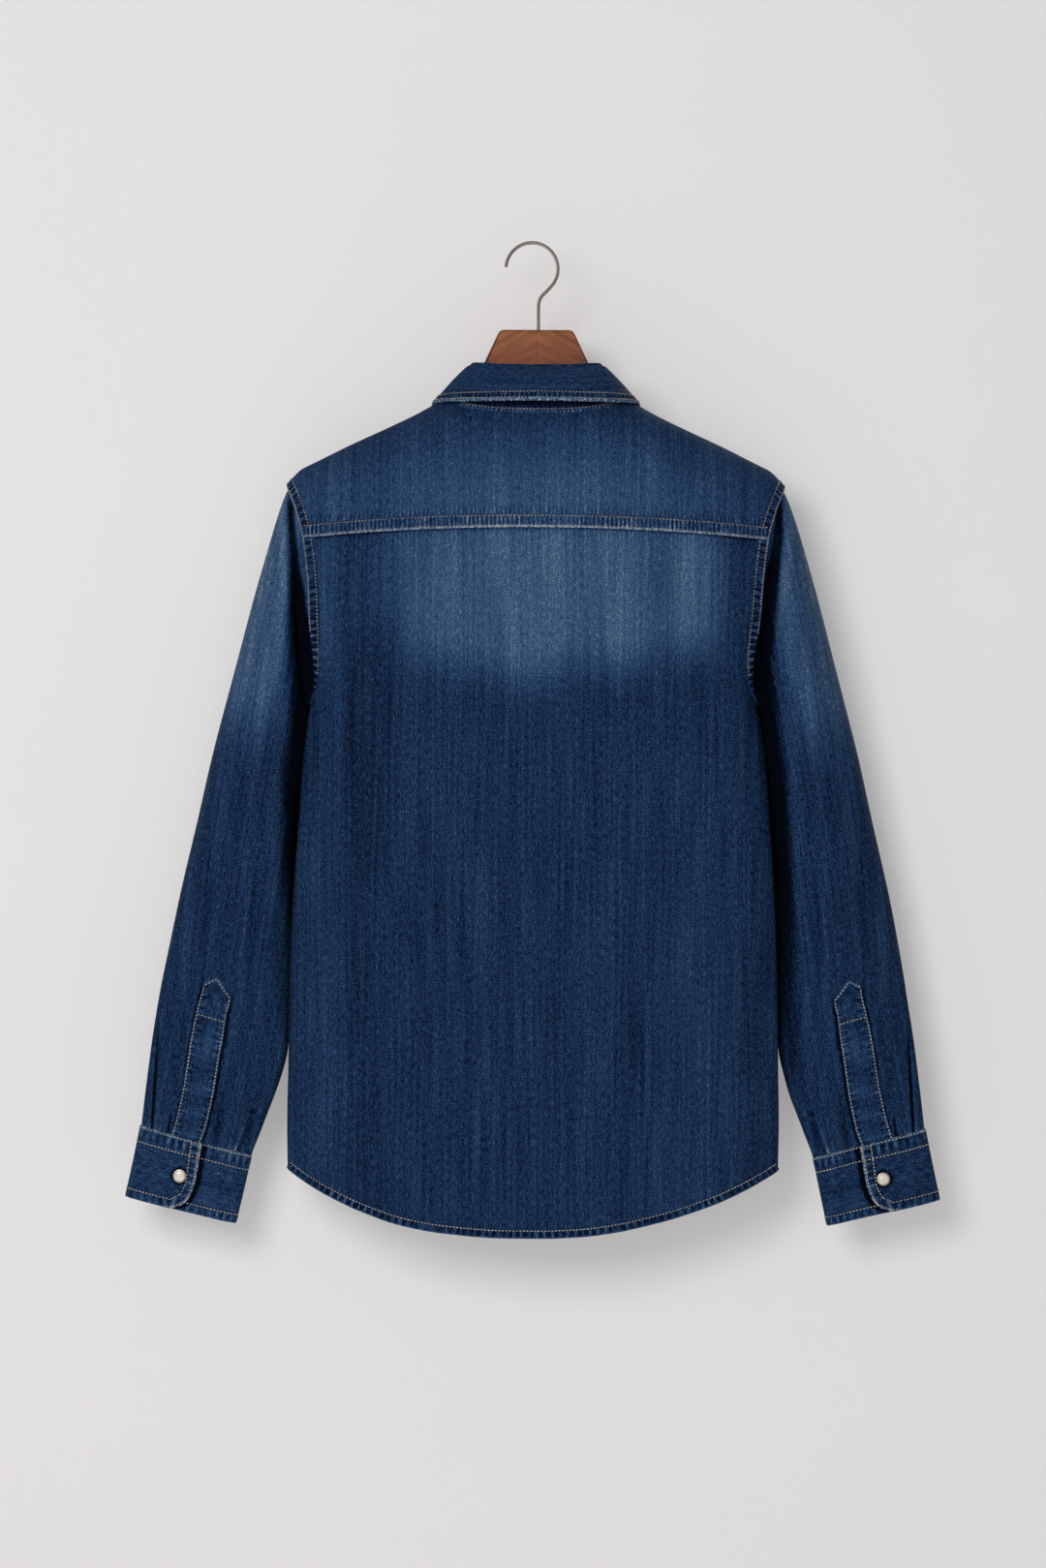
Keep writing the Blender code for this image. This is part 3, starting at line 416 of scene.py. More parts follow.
RIDGE = Curve([(0, -115), (40, -122), (76, -139), (92.6, -147.4), (108.6, -156.3), (138, -170.5),
               (169, -184.8), (197.6, -199), (211, -206), (219.8, -213.2), (227.5, -223)])
EDGE = Curve([(-848, 225), (-808, 225.6), (-754, 224.7), (-701, 223.8), (-612, 221.2),
              (-541, 216.7), (-470, 211.8), (-434, 207.4), (-420, 205), (-384, 203.4),
              (-352, 204.2), (-309, 206.6), (-272.3, 211), (-245, 218.4), (-223, 227.5)])
BACK_DEPTH = Curve([(-930, 52), (-750, 56), (-600, 59), (-420, 61), (-345, 61), (-263, 60),
                    (-214, 59), (-160, 56), (-115, 52)])
FRONT_DEPTH = Curve([(-930, 68), (-750, 73), (-600, 75), (-420, 73), (-345, 70), (-263, 66),
                     (-214, 58), (-160, 54), (-115, 50)])
REACH = Curve([(-930, 240), (-750, 240), (-600, 238), (-420, 236), (-345, 240), (-263, 244),
               (-214, 247), (-160, 250), (-115, 252)])


def to_world(points):
    """Metres in the model's frame. The shirt hangs a little out of plumb, its right side a little wider."""
    x, y, z = points[..., 0], points[..., 1], points[..., 2]
    pinched = 3.4 * bump(z, -385, 42) * ease((-x - 150) / 50) * (1 - ease((-x - 225) / 30))
    wider = 1.6 * ease((-x - 222) / 26) * (1 - ease((-600 - z) / 110))
    drawn_in = 3.8 * bump(x, -300, 34) * ease((-655 - z) / 45)
    drawn_in = drawn_in + 1.3 * bump(z, -770, 50) * ease((-x - 228) / 12) * (1 - ease((-x - 262) / 30))
    x = x + pinched - wider + drawn_in
    turned_x = x * np.cos(LEAN) + z * np.sin(LEAN) + SYMMETRY_X
    return join(turned_x, y, z * np.cos(LEAN) - x * np.sin(LEAN)) * MM


def ridge_z(x):
    return RIDGE(np.abs(x))


def depth_at(z, side):
    return np.where(side > 0, BACK_DEPTH(z), FRONT_DEPTH(z))


def plan_share(x, z):
    return (1 - (np.abs(x) / REACH(z)) ** FLATNESS) ** (1 / FLATNESS)


def side_turn(x, z):
    fall = np.maximum(0.0, ARM_TURN_Z - z) / (ARM_TURN_Z - UNDERARM_Z)
    left_open = np.sqrt(np.maximum(0.0, 1 - fall * fall))
    narrowed = np.where(z > UNDERARM_Z, (1 - left_open ** SIDE_FLATNESS) ** (1 / SIDE_FLATNESS), 1.0)
    return (np.abs(x) / EDGE(z) * narrowed) ** SIDE_FLATNESS


print("half width at the shoulder and hem:", EDGE(SHOULDER_Z), EDGE(SIDE_HEM_Z))

# %% [markdown]
# ## Creases of the body
#
# Cloth that hangs falls into long soft folds. Each row below is one fold: which side it is on, where
# it starts and ends, how deep it is and how wide. The large ones are also in the rigid model, and the
# small ones are only here. Short ripples run down from the yoke seam.

# %% Folds of back and front
Fold = namedtuple("Fold", "side x_top x_hem z_top depth width")
FOLDS = [
    Fold(1, -150, -168, -520, 4.0, 22), Fold(1, -96, -104, -640, -2.6, 20),
    Fold(1, -38, -46, -700, 2.4, 24), Fold(1, 62, 66, -660, -2.8, 22),
    Fold(1, 118, 126, -560, 3.4, 22), Fold(1, 168, 182, -480, -3.0, 18),
    Fold(-1, -160, -176, -500, -4.2, 20), Fold(-1, -112, -120, -560, 4.4, 22),
    Fold(-1, -62, -68, -620, -3.2, 20), Fold(-1, 60, 70, -600, 3.6, 20),
    Fold(-1, 112, 118, -540, -4.0, 22), Fold(-1, 162, 178, -500, 4.2, 20),
    Fold(1, 140, 148, -300, -2.2, 17), Fold(1, 178, 190, -330, 1.8, 13),
    Fold(1, -158, -150, -310, -1.8, 16), Fold(1, -186, -196, -350, 1.8, 12),
    Fold(1, 20, 12, -420, -1.0, 12), Fold(1, -20, -30, -500, -1.0, 10),
    Fold(1, 88, 92, -400, 1.0, 15), Fold(1, -66, -78, -450, 0.9, 12),
]
Dent = namedtuple("Dent", "side x z turn length width depth")
DENTS = [
    Dent(1, 168, -330, 62, 60, 13, -2.4), Dent(1, -168, -338, -60, 56, 13, -2.2),
    Dent(1, 150, -420, 50, 70, 15, -1.6), Dent(1, -146, -436, -52, 66, 14, -1.6),
    Dent(1, 0, -330, 0, 90, 16, -1.2), Dent(1, 70, -470, 8, 80, 16, -1.0),
    Dent(1, -84, -560, -6, 90, 18, 1.0), Dent(1, 190, -640, 12, 80, 12, -1.6),
    Dent(1, -196, -660, -14, 80, 12, -1.6), Dent(1, 176, -770, -10, 60, 12, 1.6),
    Dent(-1, 150, -330, 55, 60, 15, -3.0), Dent(-1, -150, -330, -55, 60, 15, -3.0),
    Dent(-1, 120, -470, 30, 80, 16, -2.0), Dent(-1, -126, -500, -24, 80, 16, -2.0),
]


def body_relief(x, z, side):
    relief = np.zeros(np.broadcast(x, z).shape)
    for fold in FOLDS:
        down = (fold.z_top - z) / (fold.z_top - SIDE_HEM_Z)
        middle = mix(fold.x_top, fold.x_hem, np.maximum(0.0, down))
        shape = fold.depth * ease(down) * bump(x, middle, fold.width)
        relief = relief + np.where(side == fold.side, shape, 0.0)
    for dent in DENTS:
        turn = np.radians(dent.turn)
        along = (z - dent.z) * np.cos(turn) - (x - dent.x) * np.sin(turn)
        across = (x - dent.x) * np.cos(turn) + (z - dent.z) * np.sin(turn)
        shape = dent.depth * bump(along, 0, dent.length) * bump(across, 0, dent.width)
        relief = relief + np.where(side == dent.side, shape, 0.0)
    ripple = np.sin(x / 5.1 + 1.6 * np.sin(x / 23)) * 0.6 + np.sin(x / 8.7 + 1) * 0.4
    near_yoke = bump(z, -282, 16) * np.where(z < -262, 1.0, 0.0)
    return relief + np.where(side > 0, ripple * near_yoke * 0.45, ripple * near_yoke * 0.3)


def body_y(x, z, side):
    bulge = plan_share(x, z) * np.maximum(0.0, 1 - side_turn(x, z)) ** (1 / SIDE_FLATNESS)
    drop = np.maximum(0.0, ridge_z(x) - z)
    arch = np.where(drop < ARCH, np.sqrt(np.maximum(0.0, 1 - (1 - np.minimum(drop / ARCH, 1)) ** 2)), 1.0)
    soft = body_relief(x, z, side) * np.minimum(1.0, bulge * 1.5) * ease(drop / 50)
    return side * (depth_at(z, side) * bulge * arch + soft)


def body_point(x, z, side):
    return join(x, body_y(x, z, side), z)


def body_level(x, y, z, side):
    """Zero on the body form, less inside it and more outside."""
    depth = depth_at(z, side) * plan_share(x, z)
    turn = side_turn(x, z)
    drop = ridge_z(x) - z
    rolled = depth * (1 - np.minimum(0.999, turn)) ** (1 / SIDE_FLATNESS)
    over = (y / rolled) ** 2 + (1 - drop / ARCH) ** 2 - 1
    return np.where(drop < ARCH, over, turn + (np.abs(y) / depth) ** SIDE_FLATNESS - 1)


def body_normal(points, side):
    step = 0.25
    slope = []
    for shift in np.eye(3) * step:
        ahead, behind = [np.moveaxis(moved, -1, 0) for moved in (points + shift, points - shift)]
        slope.append(body_level(*ahead, side) - body_level(*behind, side))
    return unit(np.stack(slope, axis=-1))


def chart_z(x, w):
    """Height on the form, w millimetres along the cloth from the shoulder line."""
    w = np.abs(w)
    rolled = ARCH * (1 - np.cos(np.minimum(w / ROLL, 1) * np.pi / 2))
    return ridge_z(x) - rolled - np.maximum(0.0, w - ROLL)


def chart_w(x, z, side):
    drop = np.maximum(0.0, ridge_z(x) - z)
    rolled = ROLL * np.arccos(1 - np.minimum(drop / ARCH, 1)) / (np.pi / 2)
    return side * (rolled + np.maximum(0.0, drop - ARCH))


print("back stands out to y = %.1f mm at the waist" % body_y(0.0, -600.0, 1))

# %% [markdown]
# ## Neckline and armhole
#
# Two seam lines are shared by many pieces. The neckline is counted as an angle, from the back middle
# over the shoulder to the front middle. The armhole is counted in degrees too, from the shoulder tip
# down the back to the underarm, and down the front with a minus sign.

# %% Seam lines
def neck_xz(angle):
    turn = np.cos(np.radians(angle))
    back = -139.0 - 21.5 * np.sqrt(np.maximum(turn, 0))
    front = -139.0 + 75.0 * np.minimum(turn, 0)
    return 76.0 * np.sin(np.radians(angle)), np.where(turn >= 0, back, front), np.where(turn >= 0, 1, -1)


def neck_point(angle):
    return body_point(*neck_xz(angle))


def arm_xz(station):
    z = (SHOULDER_Z + UNDERARM_Z) / 2 + (SHOULDER_Z - UNDERARM_Z) / 2 * np.cos(np.radians(station))
    return EDGE(z), z, np.where(np.mod(station, 360) < 180, 1, -1)


def arm_point(station):
    return body_point(*arm_xz(station))


def away(point, normal, tangent, centre):
    """The direction in the cloth that points off its edge, towards the hole's centre."""
    direction = unit(np.cross(normal, tangent))
    towards = np.sum(direction * (np.array(centre) - point), axis=-1, keepdims=True)
    return np.where(towards > 0, direction, -direction)


def arm_edge(station):
    """Point, normal and direction off the edge, all round the armhole."""
    point = arm_point(station)
    normal = body_normal(point, arm_xz(station)[2])
    tangent = arm_point(station + 2.0) - arm_point(station - 2.0)
    return point, normal, away(point, normal, tangent, (212, 0, -321))


def neck_edge(angle):
    point = neck_point(angle)
    normal = body_normal(point, neck_xz(angle)[2])
    tangent = neck_point(angle + 1.5) - neck_point(angle - 1.5)
    return point, normal, away(point, normal, tangent, (0, 0, -100))


def on_form(points, side):
    """Moves points along their normals until they lie on the body form."""
    for _ in range(3):
        normal = body_normal(points, side)
        level = body_level(*np.moveaxis(points, -1, 0), side)
        further = body_level(*np.moveaxis(points + normal * 0.5, -1, 0), side)
        slope = np.maximum((further - level) / 0.5, 1e-6)
        points = points - normal * np.clip(level / slope, -3, 3)[..., None]
    return points, body_normal(points, side)


print("armhole from", arm_point(0.0).round(1), "to", arm_point(180.0).round(1))

# %% [markdown]
# ## Making a wall of cloth
#
# Every piece of cloth is a grid of outer points with a second grid one thickness inside, closed
# round its edges. `cloth` makes the mesh, its cloth map, its seam map and its marks. A tube
# repeats its first column at its end, and the two are welded.


def add_piece(name, mesh):
    """A named object for a finished mesh; it rides on the model's one body."""
    piece = bpy.data.objects.new(name, mesh)
    bpy.context.scene.collection.objects.link(piece)
    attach(piece, "root")
    return piece


def side_name(name, side, sides):
    """The name of one of a pair; the left one lies towards +X."""
    return name if len(sides) == 1 else name + ("_left" if side > 0 else "_right")


def grid_normals(grid, outward):
    """Normals of a grid, turned like the rough outward directions."""
    along = np.gradient(grid, axis=1)
    down = np.gradient(grid, axis=0)
    normal = unit(np.cross(along, down))
    flip = np.sum(normal * outward, axis=-1, keepdims=True) < 0
    return np.where(flip, -normal, normal)


def wall_faces(rows, columns, flip):
    r, c = np.meshgrid(np.arange(rows - 1), np.arange(columns - 1), indexing="ij")
    a = (r * columns + c).ravel()
    quads = np.stack([a, a + 1, a + columns + 1, a + columns], axis=1)
    half = rows * columns
    outer = quads[:, ::-1] if flip else quads
    inner = (quads if flip else quads[:, ::-1]) + half
    ring = list(range(columns))
    ring += [i * columns + columns - 1 for i in range(1, rows)]
    ring += [(rows - 1) * columns + i for i in range(columns - 2, -1, -1)]
    ring += [i * columns for i in range(rows - 2, 0, -1)]
    ring = np.array(ring)
    after = np.roll(ring, -1)
    rim = np.stack([ring, ring + half, after + half, after], axis=1)
    rim = rim[:, ::-1] if flip else rim
    return np.concatenate([outer, inner, rim])


def cloth(name, outer, normal, thickness, cut, marks, seam=None, loop=False, sides=(1,)):
    """A closed wall of cloth. A pair is made in one call; its marks may be (left, right)."""
    rows, columns = outer.shape[:2]
    inner = outer - normal * np.broadcast_to(thickness, (rows, columns))[..., None]
    for side in sides:
        turn = np.array([side, 1, 1])
        own_marks = marks[side < 0] if isinstance(marks, tuple) else marks
        points = to_world(np.concatenate([(outer * turn).reshape(-1, 3), (inner * turn).reshape(-1, 3)]))
        middle = rows // 2, columns // 2
        a = outer[middle] * turn
        along = outer[middle[0], middle[1] + 1] * turn - a
        down = outer[middle[0] + 1, middle[1]] * turn - a
        flip = np.dot(np.cross(along, down), normal[middle] * turn) < 0
        faces = wall_faces(rows, columns, flip)
        mesh = bpy.data.meshes.new(name)
        mesh.from_pydata(points.tolist(), [], faces.tolist())
        corner = np.array([i for face in faces for i in face]) % (rows * columns)
        for key, layer in (("cloth", cut), ("seam", seam)):
            values = np.zeros((rows * columns, 2)) if layer is None else layer.reshape(-1, 2) * MM
            uv = mesh.uv_layers.new(name=key)
            uv.data.foreach_set("uv", values[corner].astype(np.float32).ravel())
        attribute = mesh.attributes.new("marks", "FLOAT_COLOR", "POINT")
        flat = own_marks.reshape(-1, 4)
        attribute.data.foreach_set("color", np.concatenate([flat, flat]).astype(np.float32).ravel())
        if loop:
            shape = bmesh.new()
            shape.from_mesh(mesh)
            ends = [face for face in shape.faces if len(face.verts) == 4 and closes_loop(face, rows, columns)]
            bmesh.ops.delete(shape, geom=ends, context="FACES_ONLY")
            bmesh.ops.remove_doubles(shape, verts=shape.verts, dist=2e-6)
            shape.to_mesh(mesh)
            shape.free()
        mesh.shade_smooth()
        mesh.set_sharp_from_angle(angle=np.radians(55))
        mesh.materials.append(DENIM)
        piece = add_piece(side_name(name, side, sides), mesh)
        print(piece.name, "faces:", len(mesh.polygons), "area: %.4f m2" % surface(outer),
              "cut:", (np.ptp(cut[..., 0]) * MM).round(3), "x", (np.ptp(cut[..., 1]) * MM).round(3))


def closes_loop(face, rows, columns):
    """Whether a rim face lies where a tube's last column meets its first."""
    half = rows * columns
    places = {v.index % half % columns for v in face.verts}
    return len(places) == 1 and places <= {0, columns - 1}


def surface(grid):
    """Area of a grid in square metres."""
    one = grid[1:, 1:] - grid[:-1, :-1]
    two = grid[1:, :-1] - grid[:-1, 1:]
    return float(np.linalg.norm(np.cross(one, two), axis=-1).sum() / 2 * MM * MM)


def marks_of(shape, *marks):
    """The four marks of a mesh: fading with painted shade and highlights, worn, gathers and height. Those
    left out are 0.
    """
    marks = marks + (0.0,) * (4 - len(marks))
    return np.stack([np.broadcast_to(np.asarray(mark, float), shape) for mark in marks], axis=-1)


def gather(s, seed):
    """Height from -1 to 1 of the small gathers along a stitched seam, s millimetres along it."""
    wave = np.sin(2 * np.pi * s / PUCKER + 2.4 * np.sin(s / 15 + seed) + 1.5 * np.sin(s / 5.7 + 2 * seed))
    return wave * (0.66 + 0.34 * np.sin(s / 7.3 + 3 * seed))


def run_length(points):
    """Distance along a row of points."""
    steps = np.linalg.norm(np.diff(points, axis=0), axis=-1)
    return np.concatenate([[0.0], np.cumsum(steps)])


print("cloth maker ready")

# %% [markdown]
# ## Back
#
# The back is one piece, from under the yoke down to the curved hem. Where the shirt was bleached a
# little, a broad pale field lies across the shoulder blades and fades out in a soft line. Its top
# rows run up under the edge of the yoke.

# %% Back panel
SHEET = 1.1
YOKE_Z = float(arm_xz(60.0)[1])
YOKE_RISE = 9.3            # the yoke's back seam stands this much higher at the middle
HEM_DROP = 59.0
HEM_HALF = 225.0


def hem_drop(x):
    power = np.where(x < 0, 2.1, 2.6)
    return HEM_DROP * (1 - np.minimum(1.0, np.abs(x) / HEM_HALF) ** power)


def spread(share):
    return np.sin(share * np.pi / 2) ** 0.8


def back_surface(z_edge, share):
    """Points of the back, by the height at its side edge and the share of its half width."""
    v = (z_edge - YOKE_Z) / (SIDE_HEM_Z - YOKE_Z)
    x = EDGE(z_edge) * spread(np.abs(share)) * np.sign(share)
    rise = YOKE_RISE * (1 - np.minimum(1.0, np.abs(x) / EDGE(YOKE_Z)) ** 2) * (1 - ease(v / 0.35))
    z = z_edge + rise - hem_drop(x) * ease((v - 0.25) / 0.75)
    return x, z


def back_fade(x, z):
    """The pale field across the shoulder blades, the darker strips beside it, and painted shade beside the
    right armhole.
    """
    lower = -401 + 0.14 * np.abs(x - 10) - 4 * np.sin(x / 15 + 0.6) + 1.5 * np.sin(x / 6.5)
    lower = lower + 16 * ease((x - 60) / 70)
    field = ease((x + 187) / 46) * ease((171 - x) / 94) * ease((z - lower + 30) / 62)
    field = field * (1 - 0.26 * bump(x, -42, 17) - 0.28 * bump(x, -116, 24) - 0.10 * bump(x, 66, 10))
    field = field * (1.08 - 0.15 * ease((x + 40) / 120))
    low = ease((-330 - z) / 60) * (1 - 0.65 * ease((-540 - z) / 80))
    strips = -0.30 * bump(x, 150, 22) * low - 0.10 * bump(x, -102, 18)
    rim = 0.34 * bump(x, 192, 13) * (1 - 0.8 * ease((-350 - z) / 90))
    rim = rim + 0.10 * ease((-x - 60) / 60) * ease((-430 - z) / 60)
    # The last term is painted shade by the right armhole, where the sleeve's valley falls.
    return field + strips + rim - 0.10 * bump(x, -200, 22) - 0.9 * bump(x, -208, 9) * bump(z, -400, 60)


arm_rows = arm_xz(np.arange(60.0, 181.0, 3.0))[1]
side_rows = np.linspace(-424, SIDE_HEM_Z, 96)
seam_rows = YOKE_Z + np.array([7.0, 3.5, 0.0, -0.9, -2.0, -3.1])
back_z = np.concatenate([seam_rows, arm_rows[1:], side_rows])[:, None]
back_share = np.linspace(-1, 1, 133)[None, :]
back_x, back_height = back_surface(back_z, back_share)
back_grid = body_point(back_x, back_height, 1)
back_grid[..., 1] = np.maximum(back_grid[..., 1], 0.3)
back_norm = body_normal(back_grid, 1)
back_cut = np.stack([back_x, chart_w(back_x, back_height, 1)], axis=-1)
below_seam = back_surface(np.full_like(back_z, YOKE_Z), back_share)[1] - back_height
# A painted shadow line just under the yoke's folded edge.
seam_shade = 0.75 * bump(below_seam, 1.4, 1.7)
back_marks = marks_of(back_x.shape, back_fade(back_x, back_height) - seam_shade, 0,
                      0.35 * bump(below_seam, 5, 7))
cloth("back_panel_cloth", back_grid, back_norm, SHEET, back_cut, back_marks,
      np.stack([back_x, back_height], axis=-1))

# %% [markdown]
# ## Yoke
#
# The yoke is cut double. It wraps from the back seam over the shoulders to a seam on the front. Its
# edge is folded under and laps over the back, so it stands a little proud there.

# %% Yoke
YOKE_STEPS = 28
SIDE_STEPS = 7
NECK_FINE = np.linspace(-123, 123, 4001)
neck_run = run_length(neck_point(NECK_FINE))
YOKE_NECK = np.interp(np.linspace(0, neck_run[-1], YOKE_STEPS + 1), neck_run, NECK_FINE)


def yoke_outline(q):
    """The yoke's outer edge on the chart: armhole, back seam, armhole."""
    station = np.where(q < YOKE_STEPS / 2, -45 + 15 * q, 60 - 15 * (q - YOKE_STEPS + SIDE_STEPS))
    station = np.clip(station, -45, 60)
    x_arm, z_arm, side = arm_xz(station)
    x_arm = np.where(q < YOKE_STEPS / 2, -x_arm, x_arm)
    half = EDGE(YOKE_Z)
    x_seam = half * (2 * (q - SIDE_STEPS) / (YOKE_STEPS - 2 * SIDE_STEPS) - 1)
    z_seam = YOKE_Z + YOKE_RISE * (1 - (x_seam / half) ** 2)
    on_seam = (q > SIDE_STEPS) & (q < YOKE_STEPS - SIDE_STEPS)
    w = np.where(on_seam, chart_w(x_seam, z_seam, 1), chart_w(x_arm, z_arm, side))
    return np.where(on_seam, x_seam, x_arm), w


def yoke_surface(q, v):
    angle = np.interp(q, np.arange(YOKE_STEPS + 1), YOKE_NECK)
    x_in, z_in, side_in = neck_xz(angle)
    x_out, w_out = yoke_outline(q)
    x = mix(x_in, x_out, v)
    w = mix(chart_w(x_in, z_in, side_in), w_out, v)
    side = np.where(w >= 0, 1, -1)
    return x, w, side


yoke_q = np.linspace(0, YOKE_STEPS, 281)[None, :]
yoke_v = np.concatenate([np.linspace(0, 0.9, 38), np.linspace(0.91, 1.0, 10)])[:, None]
yoke_x, yoke_w, yoke_side = yoke_surface(yoke_q, yoke_v)
yoke_grid = body_point(yoke_x, chart_z(yoke_x, yoke_w), yoke_side)
yoke_norm = body_normal(yoke_grid, yoke_side)
yoke_grid = yoke_grid + yoke_norm * (0.15 + 0.9 * ease((yoke_v - 0.86) / 0.06))[..., None]
yoke_z = yoke_grid[..., 2]
YOKE_PALE = Curve([(-215, 0.16), (-150, 0.46), (-60, 0.76), (40, 0.78), (110, 0.60), (150, 0.46),
                   (215, 0.38)])
yoke_fade = mix(0.14, YOKE_PALE(yoke_x), ease((-158 - yoke_z) / 80))
yoke_fade = np.where(yoke_side > 0, yoke_fade, 0.28) - 0.12 * bump(yoke_v, 0, 0.10)
above_seam = yoke_z - (YOKE_Z + YOKE_RISE * (1 - (yoke_x / EDGE(YOKE_Z)) ** 2))
slubs = np.where(yoke_side > 0, 0.85 * (1 - ease((above_seam - 11) / 11)), 0.0)
yoke_marks = marks_of(yoke_x.shape, yoke_fade, 0, slubs, 0.45 * gather(yoke_x, 0.6))
cloth("yoke_cloth", yoke_grid, yoke_norm, mix(2.0, 1.0, ease((yoke_v - 0.8) / 0.1)),
      np.stack([yoke_x, yoke_w], axis=-1), yoke_marks, np.stack([yoke_x, 0.6 * yoke_z], axis=-1))

# %% [markdown]
# ## Fronts and placket
#
# The two fronts are mirrored, and the left one laps over the right. A band runs down the lap and
# carries the snaps.

# %% Fronts
LAP = 2
CORNER = 5
FRONT_LAST = 12
FRONT_NECK = [192.0, 180.0, 168.0, 153.0, 138.0, 123.0]
x_corner, z_corner, _ = neck_xz(123.0)
w_corner = chart_w(x_corner, z_corner, -1)
x_arm_front, z_arm_front, _ = arm_xz(-45.0)
w_arm_front = chart_w(x_arm_front, z_arm_front, -1)


def front_surface(z_edge, c):
    """Points of the left front; c counts from the lap's edge, 0, to the armhole, 12."""
    angle = np.interp(c, np.arange(CORNER + 1), FRONT_NECK)
    x_neck, z_neck, _ = neck_xz(angle)
    t = np.clip((c - CORNER) / (FRONT_LAST - CORNER), 0, 1)
    x_seam = mix(x_corner, x_arm_front, t)
    z_seam = chart_z(x_seam, mix(w_corner, w_arm_front, t))
    x_top = np.where(c <= CORNER, x_neck, x_seam)
    z_top = np.where(c <= CORNER, z_neck, z_seam)
    top = z_arm_front
    v = (z_edge - top) / (SIDE_HEM_Z - top)
    lap_x = float(neck_xz(168.0)[0])
    share_top = (x_top - lap_x) / (EDGE(top) - lap_x)
    share_low = spread(np.clip((c - LAP) / (FRONT_LAST - LAP), 0, 1))
    x = mix(lap_x, EDGE(z_edge), mix(share_top, share_low, ease(v / 0.35)))
    x = np.where(c > LAP, x, x_top)
    return x, mix(z_top, SIDE_HEM_Z - hem_drop(x), v)


front_arm_rows = arm_xz(-np.arange(45.0, 181.0, 3.0))[1]
front_z = np.concatenate([front_arm_rows, side_rows])[:, None]
front_c = np.linspace(0, FRONT_LAST, 73)[None, :]
front_x, front_height = front_surface(front_z, front_c)
front_grid = body_point(front_x, front_height, -1)
front_grid[..., 1] = np.minimum(front_grid[..., 1], -0.3)
front_norm = body_normal(front_grid, -1)
front_cut = np.stack([front_x, chart_w(front_x, front_height, -1)], axis=-1)
front_fade = 0.55 * ease((front_height + 420) / 90) * (1 - ease((np.abs(front_x - 90) - 60) / 60))
front_marks = marks_of(front_x.shape, front_fade)
cloth("front_left_cloth", front_grid, front_norm, SHEET, front_cut, front_marks)
mirror = np.array([-1, 1, 1])


def under_lap(c):
    """How far the right front lies behind the left one."""
    return 1.8 * (1 - ease(c - LAP))


right_grid = front_grid * mirror
right_grid[..., 1] += under_lap(front_c)
cloth("front_right_cloth", right_grid, front_norm * mirror, SHEET, front_cut * [-1, 1], front_marks)

# %% Front placket
BAND_LIFT = 1.5
placket_c = np.linspace(0, LAP, 25)[None, :]
placket_z = np.linspace(float(front_z[0, 0]) - 0.3, SIDE_HEM_Z, 420)[:, None]
placket_x, placket_height = front_surface(placket_z, placket_c)
placket_grid = body_point(placket_x, placket_height, -1)
placket_norm = body_normal(placket_grid, -1)
placket_run = np.abs(placket_height)
across = placket_c / LAP
beside = bump(across, 0, 0.16) + bump(across, 1, 0.16)
placket_rim = bump(across, 0, 0.03) + bump(across, 1, 0.03)
placket_gather = gather(placket_run, 3.1) * beside
placket_lift = BAND_LIFT + 0.12 * placket_gather - 0.7 * placket_rim
placket_marks = marks_of(placket_x.shape, 0.5 * ease((placket_height + 420) / 90), 0.8 * placket_rim,
                         0.8 * beside, placket_gather)
cloth("front_placket_cloth", placket_grid + placket_norm * placket_lift[..., None], placket_norm, 1.2,
      np.stack([placket_x, placket_height], axis=-1), placket_marks,
      np.stack([placket_run, across * 30 + 0 * placket_run], axis=-1))

# %% [markdown]
# ## Collar
#
# The stand is a closed band round the neck. The leaf rises inside it, turns over in a soft roll and
# falls outside, with two rows of stitching along its edge. Behind the neck its edge hangs clear of
# the yoke, so the stand shows in a dark crescent. The leaf's shadow is painted on the stand there.

# %% Collar stand
CollarMark = namedtuple("CollarMark", "angle plan top leaf_x leaf_y leaf_z")
COLLAR = [
    CollarMark(0, 0.80, -123.6, 0, 71, -149.5), CollarMark(30, 0.77, -122.8, 42, 64, -149.5),
    CollarMark(55, 0.74, -121, 70, 48, -148.5), CollarMark(75, 0.74, -120.2, 88, 27, -147),
    CollarMark(90, 0.75, -121.6, 95.5, 5, -146), CollarMark(105, 0.75, -127, 97, -22, -151),
    CollarMark(123, 0.76, -140, 92, -52, -178), CollarMark(145, 0.81, -165, 80, -67, -213),
    CollarMark(168, 0.87, -183, 60, -72, -250), CollarMark(192, 0.88, -185.5, 60, -72, -250),
]


def collar_curve(field, angle):
    return Curve([(mark.angle, getattr(mark, field)) for mark in COLLAR])(np.abs(angle))


def plan_out(angle):
    point = neck_point(angle)
    return unit(join(point[..., 0], point[..., 1], 0 * point[..., 0]))


def stand_push(angle):
    return (2.4 * ease((-angle - 150) / 17))[..., None]


def stand_top(angle):
    point = neck_point(angle)
    scale = collar_curve("plan", angle)
    top = join(point[..., 0] * scale, point[..., 1] * scale, collar_curve("top", angle))
    return top - plan_out(angle) * stand_push(angle)


def even_neck(start, end, count):
    fine = np.linspace(start, end, 4001)
    run = run_length(neck_point(fine))
    return np.interp(np.linspace(0, run[-1], count), run, fine), np.linspace(0, run[-1], count)


stand_angle, stand_run = even_neck(-192, 192, 420)
stand_v = np.linspace(0, 1, 20)[:, None, None]
stand_low = neck_edge(stand_angle)
low = stand_low[0] + stand_low[2] * 0.3 - plan_out(stand_angle) * stand_push(stand_angle)
stand_grid = mix(low[None], stand_top(stand_angle)[None], stand_v)
stand_norm = grid_normals(stand_grid, plan_out(stand_angle)[None])
stand_gather = gather(stand_run, 1.7)[None, :] * bump(stand_v[..., 0], 0.08, 0.12)
stand_grid = stand_grid + stand_norm * (0.25 * stand_gather)[..., None]
stand_height = stand_v[..., 0] * 30 + 0 * stand_run[None, :]
stand_cut = np.stack([stand_run[None, :] + 0 * stand_height, stand_height], axis=-1)
stand_share = stand_v[..., 0]
behind_neck = 1 - ease((np.abs(stand_angle) - 80) / 30)
